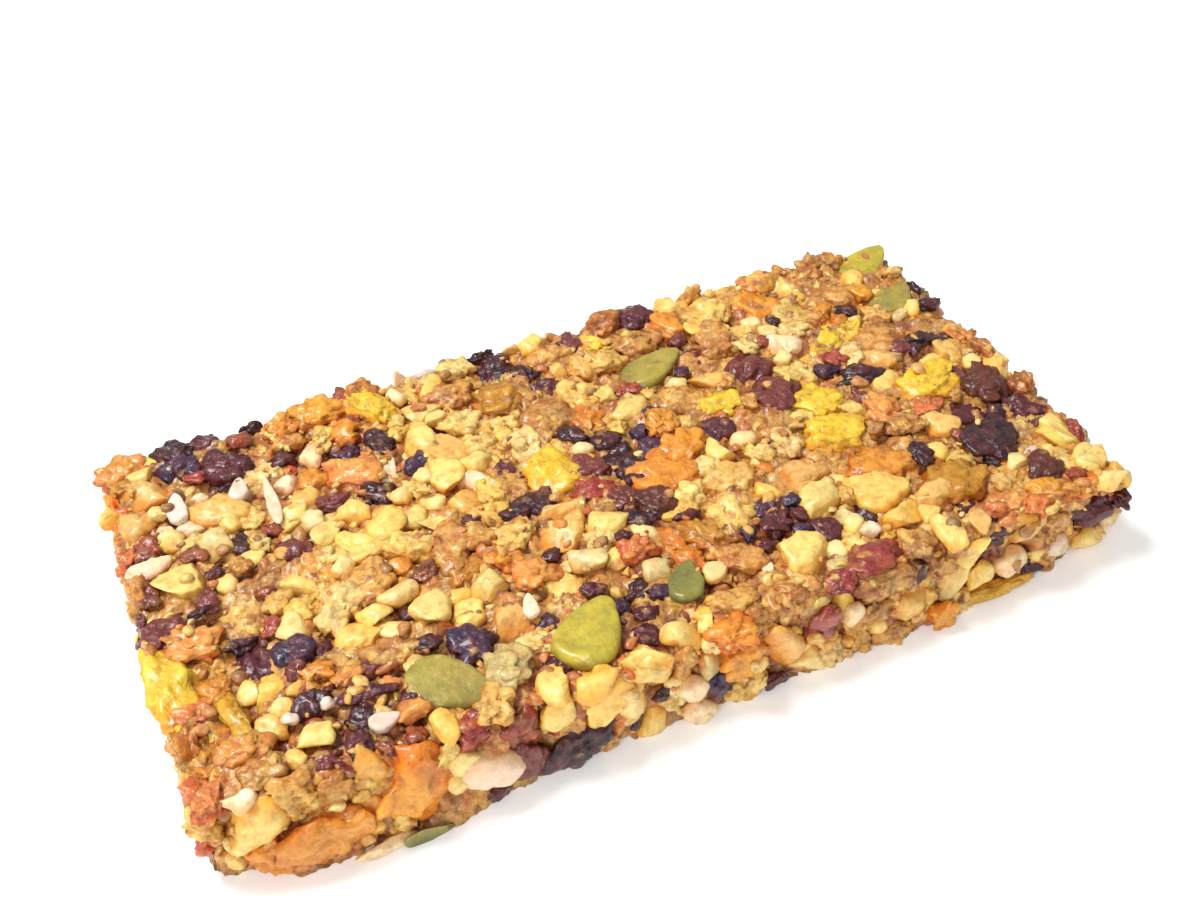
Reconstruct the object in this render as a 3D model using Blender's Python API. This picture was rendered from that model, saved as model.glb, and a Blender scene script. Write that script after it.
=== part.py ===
"""Granola bar: one hand-cut bar of chopped nuts, seeds and dried fruit, pressed into a slab.

The bar is one solid that lies flat. A slab of sticky crumb is the core. The nuts, seeds, raisins
and fruit that show are fused onto it at true size: the large ones by name and place, the small
ones spread by a seeded rule. Units are metres. +X runs along the bar and +Z is up. The origin is
the middle of the footprint, on the surface that the bar lies on.
"""

import math
import random

import bmesh
import bpy
from mathutils import Matrix, Vector, noise

MM = 0.001

# Sizes of the slab, without the pieces that stand out of it
CORE_HEIGHT = 9.9 * MM
BELLY_HEIGHT = 4.8 * MM
LEFT_END = -50.7 * MM
RIGHT_END = 50.4 * MM
EDGE_DROP = 0.8 * MM
EDGE_INSET = 0.2 * MM
BELLY_BULGE = 0.4 * MM

# The long sides, each as a few points of x and y in mm that straight lines join
BACK_LINE = ((-50.7, 25.7), (-37.0, 26.2), (-25.0, 27.6), (20.0, 27.4), (50.4, 26.8))
FRONT_LINE = ((-50.7, -23.8), (-42.0, -25.8), (0.0, -26.2), (30.0, -25.4), (50.4, -23.8))
FOOT_LINE = ((-50.7, -24.8), (-43.4, -28.0), (-29.3, -29.0), (-13.0, -27.4), (21.0, -27.0), (50.4, -24.4))

# The slab's own lumps
GRID_STEP = 4.0 * MM
TOP_RELIEF = 0.7 * MM
SIDE_RELIEF = 0.9 * MM
LUMP_SIZE = 5.0 * MM
LUMP_OFFSETS = (Vector((0, 0, 0)), Vector((31.4, 0, 0)), Vector((0, 57.3, 0)))

# The named pieces were measured from the middle of the top face, which lies in front of the origin
TOP_MIDDLE_Y = 1.2 * MM

# How deep a piece sits, as shares of its own thickness and of its width
THICKNESS_SHARE = {"nut": 0.78, "raisin": 0.6, "fruit": 0.55, "pumpkin": 0.3, "grain": 0.85, "bit": 0.6}
STAND_OUT = 1.15 * MM
SIDE_OUT = 0.4 * MM
SPREAD_SEED = 20
SHAPE_SEED = 23
WELD = 0.03 * MM

# Shares of the kinds that the spread draws from, and its range of sizes
SPREAD_KINDS = ("grain", "grain", "bit")
SPREAD_SIZES = (5.2 * MM, 4.4 * MM, 3.7 * MM, 3.1 * MM)
SPREAD_GAP = 0.88
SPREAD_TRIES = 260

# Large pieces on the top: kind, place along and across, length and width in mm, turn in degrees
TOP_PIECES = (
    ("fruit", -48.5, 23.8, 6.5, 5.0, 10),
    ("raisin", -42.3, 21.3, 5.5, 5.0, -60),
    ("raisin", -37.8, 18.8, 8.0, 6.5, -50),
    ("nut", -46.5, 18.0, 6.5, 4.5, -20),
    ("nut", -48.6, 13.8, 5.5, 4.5, 60),
    ("nut", -39.8, 12.6, 7.5, 5.5, -35),
    ("raisin", -48.2, 9.8, 4.5, 3.5, 70),
    ("nut", -41.3, 6.9, 4.8, 3.6, 80),
    ("nut", -46.0, 3.2, 5.5, 4.5, 0),
    ("fruit", -30.3, 23.3, 4.5, 4.0, 30),
    ("fruit", -25.7, 24.0, 6.5, 5.2, 10),
    ("fruit", -19.8, 21.8, 9.0, 4.5, -70),
    ("fruit", -25.2, 12.2, 8.0, 5.5, -25),
    ("raisin", -23.3, 7.5, 5.5, 4.0, -30),
    ("raisin", -21.0, 16.0, 4.5, 3.5, -50),
    ("nut", -27.2, 5.4, 5.0, 3.2, 0),
    ("nut", -24.2, 1.8, 4.8, 4.5, 15),
    ("nut", -30.6, 3.5, 3.8, 3.0, 40),
    ("raisin", -34.0, 2.8, 4.0, 3.5, 0),
    ("fruit", -46.7, -6.3, 6.5, 4.5, -20),
    ("fruit", -50.0, -8.8, 10.0, 4.0, -84),
    ("fruit", -47.0, -17.2, 9.0, 5.4, 86),
    ("fruit", -49.0, -24.4, 5.0, 3.2, 80),
    ("nut", -43.6, -24.3, 5.0, 4.0, 20),
    ("nut", -38.6, -22.6, 3.8, 3.2, 0),
    ("raisin", -37.7, -11.5, 4.6, 4.2, 0),
    ("raisin", -38.0, -18.3, 4.0, 3.5, 0),
    ("raisin", -33.0, -19.6, 6.0, 3.0, -10),
    ("raisin", -34.3, -22.8, 4.8, 3.0, 80),
    ("fruit", -29.0, -15.6, 7.5, 4.2, -15),
    ("nut", -26.4, -8.8, 5.4, 3.0, 10),
    ("nut", -23.9, -12.0, 4.4, 4.2, 0),
    ("fruit", -19.2, -4.0, 8.0, 5.0, 80),
    ("raisin", -21.8, -18.0, 6.0, 5.0, 30),
    ("pumpkin", -25.2, -22.0, 9.5, 6.0, -38),
    ("fruit", -19.6, -22.4, 5.5, 4.5, 60),
    ("raisin", -9.8, -2.0, 6.5, 3.6, -10),
    ("nut", -7.8, -7.0, 6.0, 5.2, 70),
    ("nut", -2.8, -8.0, 5.0, 4.2, 60),
    ("nut", -7.0, -12.4, 4.2, 3.6, 0),
    ("nut", -18.0, -11.2, 4.2, 3.6, 20),
    ("fruit", -12.8, -11.5, 5.0, 4.4, 0),
    ("raisin", -1.8, -13.0, 4.4, 3.8, 0),
    ("raisin", 3.0, -7.2, 6.2, 5.2, -20),
    ("fruit", 5.4, -14.4, 6.5, 3.4, -65),
    ("pumpkin", -10.8, -21.6, 9.5, 7.2, 45),
    ("pumpkin", 0.6, -19.5, 6.0, 3.8, 60),
    ("nut", 13.3, -21.2, 6.6, 6.0, 20),
    ("raisin", 13.0, -15.8, 4.4, 3.6, 45),
    ("nut", -16.7, -26.4, 5.2, 3.0, 80),
    ("nut", -7.4, -26.6, 5.0, 4.0, 0),
    ("nut", 18.7, -14.8, 6.0, 5.0, 65),
    ("nut", 25.4, -21.0, 5.0, 3.4, 0),
    ("nut", 29.5, -20.0, 5.0, 3.2, 0),
    ("raisin", 41.0, -14.2, 9.5, 7.0, 35),
    ("raisin", 46.3, -5.5, 8.5, 6.0, 70),
    ("fruit", 33.5, -18.6, 8.0, 7.0, 20),
    ("raisin", 43.0, -21.4, 5.0, 4.0, 45),
    ("nut", 48.0, -16.8, 5.0, 4.0, 70),
    ("fruit", 41.8, -24.6, 6.4, 3.6, -10),
    ("raisin", 19.5, -25.0, 8.5, 5.0, 10),
    ("nut", -12.0, 10.3, 6.5, 5.0, -30),
    ("pumpkin", -10.0, 16.3, 9.0, 5.0, -15),
    ("pumpkin", 14.0, 9.0, 9.6, 5.6, 25),
    ("pumpkin", 33.0, 3.5, 9.2, 5.4, -50),
    ("pumpkin", 27.0, 20.0, 8.8, 5.6, 10),
)

# Large pieces on the front side: kind, place along and height, length and width in mm, turn
FRONT_PIECES = (
    ("nut", -46.0, 6.8, 6.5, 5.5, 20),
    ("fruit", -40.0, 3.4, 10.5, 7.0, 15),
    ("fruit", -31.5, 5.6, 9.0, 8.0, 60),
    ("nut", -24.2, 3.4, 7.2, 5.0, -20),
    ("raisin", -15.5, 2.6, 9.0, 5.0, 20),
    ("nut", -17.0, 8.2, 4.6, 3.4, 80),
    ("nut", -12.2, 7.0, 6.6, 5.0, 70),
    ("nut", -7.0, 8.6, 4.6, 3.8, 0),
    ("nut", -2.6, 2.0, 4.2, 3.4, 0),
    ("fruit", 2.6, 5.8, 6.0, 5.6, 0),
    ("nut", 7.4, 5.0, 6.8, 4.2, -60),
    ("raisin", 11.6, 6.0, 6.0, 4.0, 70),
    ("raisin", 19.5, 8.4, 8.0, 3.8, 0),
    ("nut", 22.3, 3.8, 5.0, 4.0, 0),
    ("nut", 29.8, 7.6, 5.0, 3.4, 70),
    ("nut", 35.2, 3.8, 4.2, 3.8, 0),
    ("nut", 37.0, 8.0, 5.0, 4.2, 0),
    ("fruit", 33.0, 1.2, 11.0, 2.4, 0),
    ("fruit", 26.2, 1.6, 3.8, 3.4, 30),
    ("raisin", 46.2, 5.6, 7.0, 3.6, -5),
    ("nut", 46.8, 2.0, 4.6, 3.0, 0),
)


def line_at(line, x):
    """Reads a line of points at a place along the bar."""
    for (x0, y0), (x1, y1) in zip(line, line[1:]):
        if x <= x1 * MM:
            break
    share = max(0.0, min(1.0, (x / MM - x0) / (x1 - x0)))
    return (y0 + (y1 - y0) * share) * MM


def front_y(x, z):
    """Where the front side is at a height: it bulges out to its foot."""
    top = line_at(FRONT_LINE, x)
    return top + (line_at(FOOT_LINE, x) - top) * (1.0 - min(1.0, z / CORE_HEIGHT)) ** 0.7


class Side:
    """One side of the bar: its middle, the ways its two directions run, and how far it stands out."""

    def __init__(self, origin, along, across, half_along, half_across, stand=None):
        self.origin = Vector(origin)
        self.along = Vector(along)
        self.across = Vector(across)
        self.normal = self.along.cross(self.across)
        self.half_along = half_along
        self.half_across = half_across
        self.stand = stand
        self.taken = []

    def is_free(self, u, v, radius):
        """True if a piece of that radius clears the pieces that are there already."""
        return all(math.hypot(u - a, v - b) > SPREAD_GAP * (radius + r) for a, b, r in self.taken)

    def matrix(self, u, v, height, turn):
        """Places a piece with its own X along its length and its own Z out of this side."""
        if self.stand:
            height += self.stand(u, v)
        axes = Matrix((self.along, self.across, self.normal)).transposed().to_4x4()
        place = self.origin + self.along * u + self.across * v + self.normal * height
        return Matrix.Translation(place) @ axes @ Matrix.Rotation(turn, 4, "Z")


def front_stand(u, v):
    """How far the front stands out of the middle plane."""
    return SIDE_OUT - front_y(u, v)


def back_stand(u, v):
    """How far the back stands out of the middle plane, at any height."""
    return SIDE_OUT + line_at(BACK_LINE, -u)


def new_object(name, bm, collection):
    """Makes an object from a bmesh and puts it in a collection."""
    mesh = bpy.data.meshes.new(name)
    bm.to_mesh(mesh)
    bm.free()
    obj = bpy.data.objects.new(name, mesh)
    collection.objects.link(obj)
    return obj


def lump_at(point):
    """How far the slab's surface wanders at a point, the same each time that the script runs."""
    place = point / LUMP_SIZE
    return Vector([noise.noise(place + offset) for offset in LUMP_OFFSETS])


def slab_point(s, t, level):
    """Turns a place in the unit slab into a real one: s and t run over it, level goes down its side."""
    height = (CORE_HEIGHT, BELLY_HEIGHT, 0)[level]
    x = LEFT_END + (s + 0.5) * (RIGHT_END - LEFT_END)
    front = front_y(x, height)
    y = front + (t + 0.5) * (line_at(BACK_LINE, x) - front)
    out = Vector((math.copysign(1.0, s) * (abs(s) > 0.499), math.copysign(1.0, t) * (abs(t) > 0.499), 0))
    bulge = (-EDGE_INSET, BELLY_BULGE, BELLY_BULGE)[level] if t > -0.499 else 0.0
    point = Vector((x, y, height)) + out.normalized() * bulge
    lump = lump_at(point)
    if out.length:
        point += SIDE_RELIEF * Vector((lump.x, lump.y, 0))
    if level == 0:
        point.z += TOP_RELIEF * lump.z - EDGE_DROP * (out.length > 0)
    return point


def crumb_slab(collection):
    """The pressed slab: a lumpy grid on top, two rings of side faces and a flat base."""
    columns = round((RIGHT_END - LEFT_END) / GRID_STEP)
    rows = round((BACK_LINE[0][1] - FRONT_LINE[0][1]) * MM / GRID_STEP)
    bm = bmesh.new()
    bmesh.ops.create_grid(bm, x_segments=columns, y_segments=rows, size=0.5)
    rim = [e for e in bm.edges if e.is_boundary]
    for _ in range(2):
        drawn = bmesh.ops.extrude_edge_only(bm, edges=rim)["geom"]
        bmesh.ops.translate(bm, vec=(0, 0, -1), verts=[g for g in drawn if isinstance(g, bmesh.types.BMVert)])
        rim = [e for e in bm.edges if e.is_boundary]
    bmesh.ops.edgeloop_fill(bm, edges=rim)
    for v in bm.verts:
        v.co = slab_point(v.co.x, v.co.y, round(-v.co.z))
    bmesh.ops.recalc_face_normals(bm, faces=bm.faces)
    return new_object("crumb_slab", bm, collection)


def nut_shape(bm, rng):
    """A chopped nut: a block with uneven corners and broken edges."""
    bmesh.ops.create_cube(bm, size=0.92)
    for v in bm.verts:
        v.co += Vector((rng.uniform(-0.12, 0.12), rng.uniform(-0.12, 0.12), rng.uniform(-0.08, 0.08)))
    bmesh.ops.bevel(bm, geom=bm.edges[:], offset=0.2, segments=1, affect="EDGES")


def grain_shape(bm, rng):
    """A small puffed grain or nut crumb."""
    bmesh.ops.create_icosphere(bm, subdivisions=1, radius=0.5)
    for v in bm.verts:
        v.co *= rng.uniform(0.88, 1.08)


def bit_shape(bm, rng):
    """A small chip of fruit or nut with a flat top."""
    bmesh.ops.create_icosphere(bm, subdivisions=1, radius=0.56)
    for v in bm.verts:
        v.co *= rng.uniform(0.9, 1.1)
        v.co.z = max(-0.4, min(0.36, v.co.z))


def raisin_shape(bm, rng):
    """A raisin or berry: a ball with deep dimples."""
    bmesh.ops.create_uvsphere(bm, u_segments=8, v_segments=5, radius=0.52)
    start = Vector((rng.uniform(0, 50), rng.uniform(0, 50), 0))
    for v in bm.verts:
        v.co *= 1.0 + 0.3 * noise.noise(v.co * 3.4 + start)


def fruit_shape(bm, rng):
    """A piece of dried apricot or mango: a thick slice with blunt corners."""
    bmesh.ops.create_uvsphere(bm, u_segments=8, v_segments=5, radius=0.62)
    start = Vector((rng.uniform(0, 50), rng.uniform(0, 50), 0))
    for v in bm.verts:
        v.co *= 1.0 + 0.2 * noise.noise(v.co * 2.6 + start)
        v.co.x = max(-0.5, min(0.5, v.co.x))
        v.co.y = max(-0.48, min(0.48, v.co.y))
        v.co.z = max(-0.5, min(0.42, v.co.z))


def pumpkin_shape(bm, rng):
    """A hulled pumpkin seed: a flat drop, pointed at one end."""
    bmesh.ops.create_uvsphere(bm, u_segments=7, v_segments=6, radius=0.5)
    bmesh.ops.rotate(bm, verts=bm.verts, matrix=Matrix.Rotation(math.radians(90), 3, "Y"))
    tip = rng.uniform(0.4, 0.5)
    for v in bm.verts:
        v.co.y *= 1.0 - tip * v.co.x
        v.co.z *= 1.0 - 0.3 * v.co.x


SHAPES = {
    "nut": nut_shape,
    "grain": grain_shape,
    "bit": bit_shape,
    "raisin": raisin_shape,
    "fruit": fruit_shape,
    "pumpkin": pumpkin_shape,
}


def add_piece(side, kind, u, v, length, width, turn, collection, rng):
    """Sets one piece into a side so that its top stands a little out of it."""
    thickness = THICKNESS_SHARE[kind] * width
    sink = rng.uniform(0.15, 1.0) * STAND_OUT - 0.5 * thickness
    bm = bmesh.new()
    SHAPES[kind](bm, rng)
    bmesh.ops.scale(bm, vec=(length, width, thickness), verts=bm.verts)
    tilt = Matrix.Rotation(rng.uniform(-0.14, 0.14), 4, "X") @ Matrix.Rotation(rng.uniform(-0.14, 0.14), 4, "Y")
    bmesh.ops.transform(bm, matrix=side.matrix(u, v, sink, turn) @ tilt, verts=bm.verts)
    side.taken.append((u, v, 0.25 * (length + width)))
    new_object(kind, bm, collection)


def add_named(side, rows, collection, rng):
    """Sets in the large pieces of one side."""
    for kind, u, v, length, width, turn in rows:
        add_piece(side, kind, u * MM, v * MM, length * MM, width * MM, math.radians(turn), collection, rng)


def add_spread(side, count, collection, places, rng):
    """Fills the gaps of one side, the largest pieces first."""
    placed = 0
    for size in SPREAD_SIZES:
        for _ in range(SPREAD_TRIES):
            if placed >= count:
                return
            u = places.uniform(-side.half_along, side.half_along)
            v = places.uniform(-side.half_across, side.half_across)
            if not side.is_free(u, v, 0.5 * size):
                continue
            width = size * places.uniform(0.75, 0.95)
            turn = places.uniform(0, math.pi)
            kind = places.choice(SPREAD_KINDS)
            add_piece(side, kind, u, v, size, width, turn, collection, rng)
            placed += 1


def apply_boolean(obj, operation, solver, collection=None, cutter=None):
    """Runs one Boolean on an object and keeps the result as its mesh."""
    tool = obj.modifiers.new("fuse", "BOOLEAN")
    tool.operation = operation
    tool.solver = solver
    if collection is not None:
        tool.operand_type = "COLLECTION"
        tool.collection = collection
    else:
        tool.object = cutter
    evaluated = obj.evaluated_get(bpy.context.evaluated_depsgraph_get())
    mesh = bpy.data.meshes.new_from_object(evaluated)
    obj.modifiers.clear()
    obj.data = mesh


def floor_cutter(collection):
    """A block under the base that trims what would reach below it."""
    bm = bmesh.new()
    bmesh.ops.create_cube(bm, size=1.0)
    bmesh.ops.scale(bm, vec=(0.2, 0.2, 0.02), verts=bm.verts)
    bmesh.ops.translate(bm, vec=(0, 0, -0.01), verts=bm.verts)
    cutter = new_object("floor_cutter", bm, collection)
    cutter.hide_render = True
    cutter.display_type = "WIRE"
    return cutter


def keep_outer_skin(obj):
    """Keeps the one outer skin and drops sealed hollows and loose scraps."""
    bm = bmesh.new()
    bm.from_mesh(obj.data)
    left = set(bm.faces)
    skins = []
    while left:
        first = left.pop()
        skin = {first}
        edge_of_growth = [first]
        while edge_of_growth:
            face = edge_of_growth.pop()
            near = {f for e in face.edges for f in e.link_faces} & left
            left -= near
            skin |= near
            edge_of_growth.extend(near)
        skins.append(skin)
    outer = max(skins, key=len)
    bmesh.ops.delete(bm, geom=[f for f in bm.faces if f not in outer], context="FACES")
    bmesh.ops.remove_doubles(bm, verts=bm.verts, dist=WELD)
    bmesh.ops.triangulate(bm, faces=bm.faces)
    bm.to_mesh(obj.data)
    bm.free()


def centre_on_origin(obj):
    """Puts the middle of the footprint on the origin."""
    corners = [Vector(c) for c in obj.bound_box]
    middle = sum(corners, Vector()) / len(corners)
    obj.data.transform(Matrix.Translation((-middle.x, -middle.y, 0)))


def bar_material():
    """Sticky golden crumb with fruit and nuts."""
    material = bpy.data.materials.new("pressed_fruit_and_nut")
    material.use_nodes = True
    shader = material.node_tree.nodes["Principled BSDF"]
    shader.inputs["Base Color"].default_value = (0.62, 0.36, 0.13, 1)
    shader.inputs["Roughness"].default_value = 0.6
    shader.inputs["Metallic"].default_value = 0.0
    return material


def build():
    """Builds the bar as one object."""
    for obj in list(bpy.data.objects):
        bpy.data.objects.remove(obj)
    scene = bpy.context.scene
    bar_parts = bpy.data.collections.new("granola_bar")
    pieces = bpy.data.collections.new("pieces")
    cutters = bpy.data.collections.new("cutters")
    for collection in (bar_parts, pieces, cutters):
        scene.collection.children.link(collection)

    half_length = 0.5 * (RIGHT_END - LEFT_END) - MM
    half_width = -line_at(FRONT_LINE, 0) - MM
    half_height = 0.5 * CORE_HEIGHT
    upright = (0, 0, 1)
    top = Side((0, TOP_MIDDLE_Y, CORE_HEIGHT), (1, 0, 0), (0, 1, 0), half_length - MM, half_width - MM)
    front = Side((0, 0, 0), (1, 0, 0), upright, half_length, 2 * half_height - MM, front_stand)
    back = Side((0, 0, half_height), (-1, 0, 0), upright, half_length, half_height - MM, back_stand)
    left = Side((LEFT_END - SIDE_OUT, 0, half_height), (0, -1, 0), upright, half_width, half_height - MM)
    right = Side((RIGHT_END + SIDE_OUT, 0, half_height), (0, 1, 0), upright, half_width, half_height - MM)

    rng = random.Random(SHAPE_SEED)
    add_named(top, TOP_PIECES, pieces, rng)
    add_named(front, FRONT_PIECES, pieces, rng)
    places = random.Random(SPREAD_SEED)
    for side, count in ((top, 72), (front, 12), (back, 28), (left, 14), (right, 14)):
        add_spread(side, count, pieces, places, rng)

    bar = crumb_slab(bar_parts)
    bar.name = "granola_bar"
    apply_boolean(bar, "UNION", "MANIFOLD", collection=pieces)
    for obj in list(pieces.objects):
        bpy.data.objects.remove(obj)
    bpy.data.collections.remove(pieces)
    cutter = floor_cutter(cutters)
    apply_boolean(bar, "DIFFERENCE", "MANIFOLD", cutter=cutter)
    keep_outer_skin(bar)
    centre_on_origin(bar)
    bar.data.materials.clear()
    bar.data.materials.append(bar_material())


build()
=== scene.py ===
"""Looks of a hand-cut granola bar: nuts, seeds and dried fruit pressed into sticky crumb.

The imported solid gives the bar's size and place. This script covers it with the real pieces: a
crumb slab, chopped nuts, puffed grains, seeds, raisins, berries, strips of dried fruit and loose
crumbs, each kind as one mesh of separate shapes at true size. Lengths in the classes are in
millimetres on the bar, with x along it, y across it and z up.
"""

from __future__ import annotations

import logging
import math
import random
from dataclasses import dataclass, field, replace
from enum import Enum

import bmesh
import bpy
import numpy as np
from mathutils import Matrix, Vector, noise


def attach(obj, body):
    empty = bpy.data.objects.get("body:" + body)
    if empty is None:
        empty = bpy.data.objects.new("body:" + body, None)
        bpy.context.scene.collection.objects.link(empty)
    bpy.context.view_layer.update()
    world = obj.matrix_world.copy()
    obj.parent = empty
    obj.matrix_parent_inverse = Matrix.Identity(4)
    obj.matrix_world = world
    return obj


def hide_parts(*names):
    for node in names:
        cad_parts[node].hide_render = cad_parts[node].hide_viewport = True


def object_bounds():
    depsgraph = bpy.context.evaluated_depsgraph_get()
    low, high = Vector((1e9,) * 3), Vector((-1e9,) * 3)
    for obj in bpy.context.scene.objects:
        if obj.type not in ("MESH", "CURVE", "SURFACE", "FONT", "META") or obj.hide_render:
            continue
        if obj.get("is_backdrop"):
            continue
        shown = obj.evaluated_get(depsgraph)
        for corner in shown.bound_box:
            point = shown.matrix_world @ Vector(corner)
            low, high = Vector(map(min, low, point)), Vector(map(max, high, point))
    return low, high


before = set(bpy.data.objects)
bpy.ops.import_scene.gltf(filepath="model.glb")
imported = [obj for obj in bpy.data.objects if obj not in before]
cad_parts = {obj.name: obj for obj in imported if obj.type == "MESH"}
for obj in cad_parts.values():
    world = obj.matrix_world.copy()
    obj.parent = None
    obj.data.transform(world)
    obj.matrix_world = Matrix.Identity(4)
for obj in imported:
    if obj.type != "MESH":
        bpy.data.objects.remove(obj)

MM = 0.001
BODY = "root"
NODE = "granola_bar"

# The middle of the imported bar's footprint, on the table of places below
FOOTPRINT_MIDDLE = (-0.2507, -0.0814)

# The top pieces were measured from the middle of the top face
TOP_MIDDLE_Y = 1.2

# How far inside the imported solid's box everything is kept. Nothing may reach outside
# the imported solid's box
BOX_MARGIN = 0.02

log = logging.getLogger("granola_bar")
Triple = tuple[float, float, float]
Sizes = tuple[tuple[float, int], ...]


class Kind(Enum):
    """What a piece of the bar is."""

    NUT = "chopped_nuts"
    GRAIN = "puffed_grains"
    RAISIN = "raisins"
    CRANBERRY = "cranberries"
    FRUIT = "dried_fruit"
    DATE = "date_paste"
    CLUSTER = "crumb_clusters"
    PUMPKIN = "pumpkin_seeds"
    SUNFLOWER = "sunflower_seeds"
    CRUMB = "crumbs"


class Tint(Enum):
    """Colours of the pieces, as screen values from 0 to 255."""

    CREAM = (249, 217, 120)
    LEMON = (250, 206, 92)
    IVORY = (249, 226, 154)
    MILK = (250, 224, 196)
    TAN = (222, 168, 88)
    MINT = (210, 194, 140)
    LIME_NUT = (232, 210, 124)
    HONEY = (234, 182, 88)
    ROSE_CRUMB = (198, 116, 66)
    DATE = (146, 80, 46)
    UMBER = (98, 48, 34)
    APRICOT = (236, 140, 46)
    CORAL = (228, 112, 76)
    SALMON = (240, 152, 84)
    TANGERINE = (244, 158, 40)
    AMBER = (190, 122, 34)
    MANGO = (254, 216, 56)
    GOLD = (228, 172, 34)
    PUMPKIN_LIME = (204, 188, 62)
    PUMPKIN_OLIVE = (172, 156, 78)
    PUMPKIN_DARK = (112, 116, 66)
    SUNFLOWER = (240, 228, 196)
    LILAC_SEED = (226, 214, 212)
    NAVY = (58, 44, 78)
    PLUM = (88, 32, 46)
    PRUNE = (44, 18, 34)
    MAUVE = (126, 60, 56)
    CRANBERRY = (150, 34, 44)
    MAGENTA = (138, 40, 58)
    MAROON = (122, 40, 34)

    def linear(self) -> np.ndarray:
        """Gives the colour as scene-linear red, green and blue."""
        share = np.array(self.value) / 255.0
        return np.where(share <= 0.04045, share / 12.92, ((share + 0.055) / 1.055) ** 2.4)


class Face(Enum):
    """A side of the bar."""

    TOP = "top"
    FRONT = "front"
    BACK = "back"
    LEFT = "left"
    RIGHT = "right"
    BASE = "base"


@dataclass(frozen=True)
class Spot:
    """One piece: what it is, and where it lies on its side of the bar.

    On the top u and v are x and y; on the front they are x and z; on the other sides u runs
    along the side and v is the height.
    """

    kind: Kind
    tint: Tint
    u: float
    v: float
    length: float
    width: float
    turn: float = 0.0
    rise: float = 0.55
    face: Face = Face.TOP

    def radius(self) -> float:
        """Gives the radius of a circle of about the piece's own area."""
        return 0.25 * (self.length + self.width)


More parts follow.
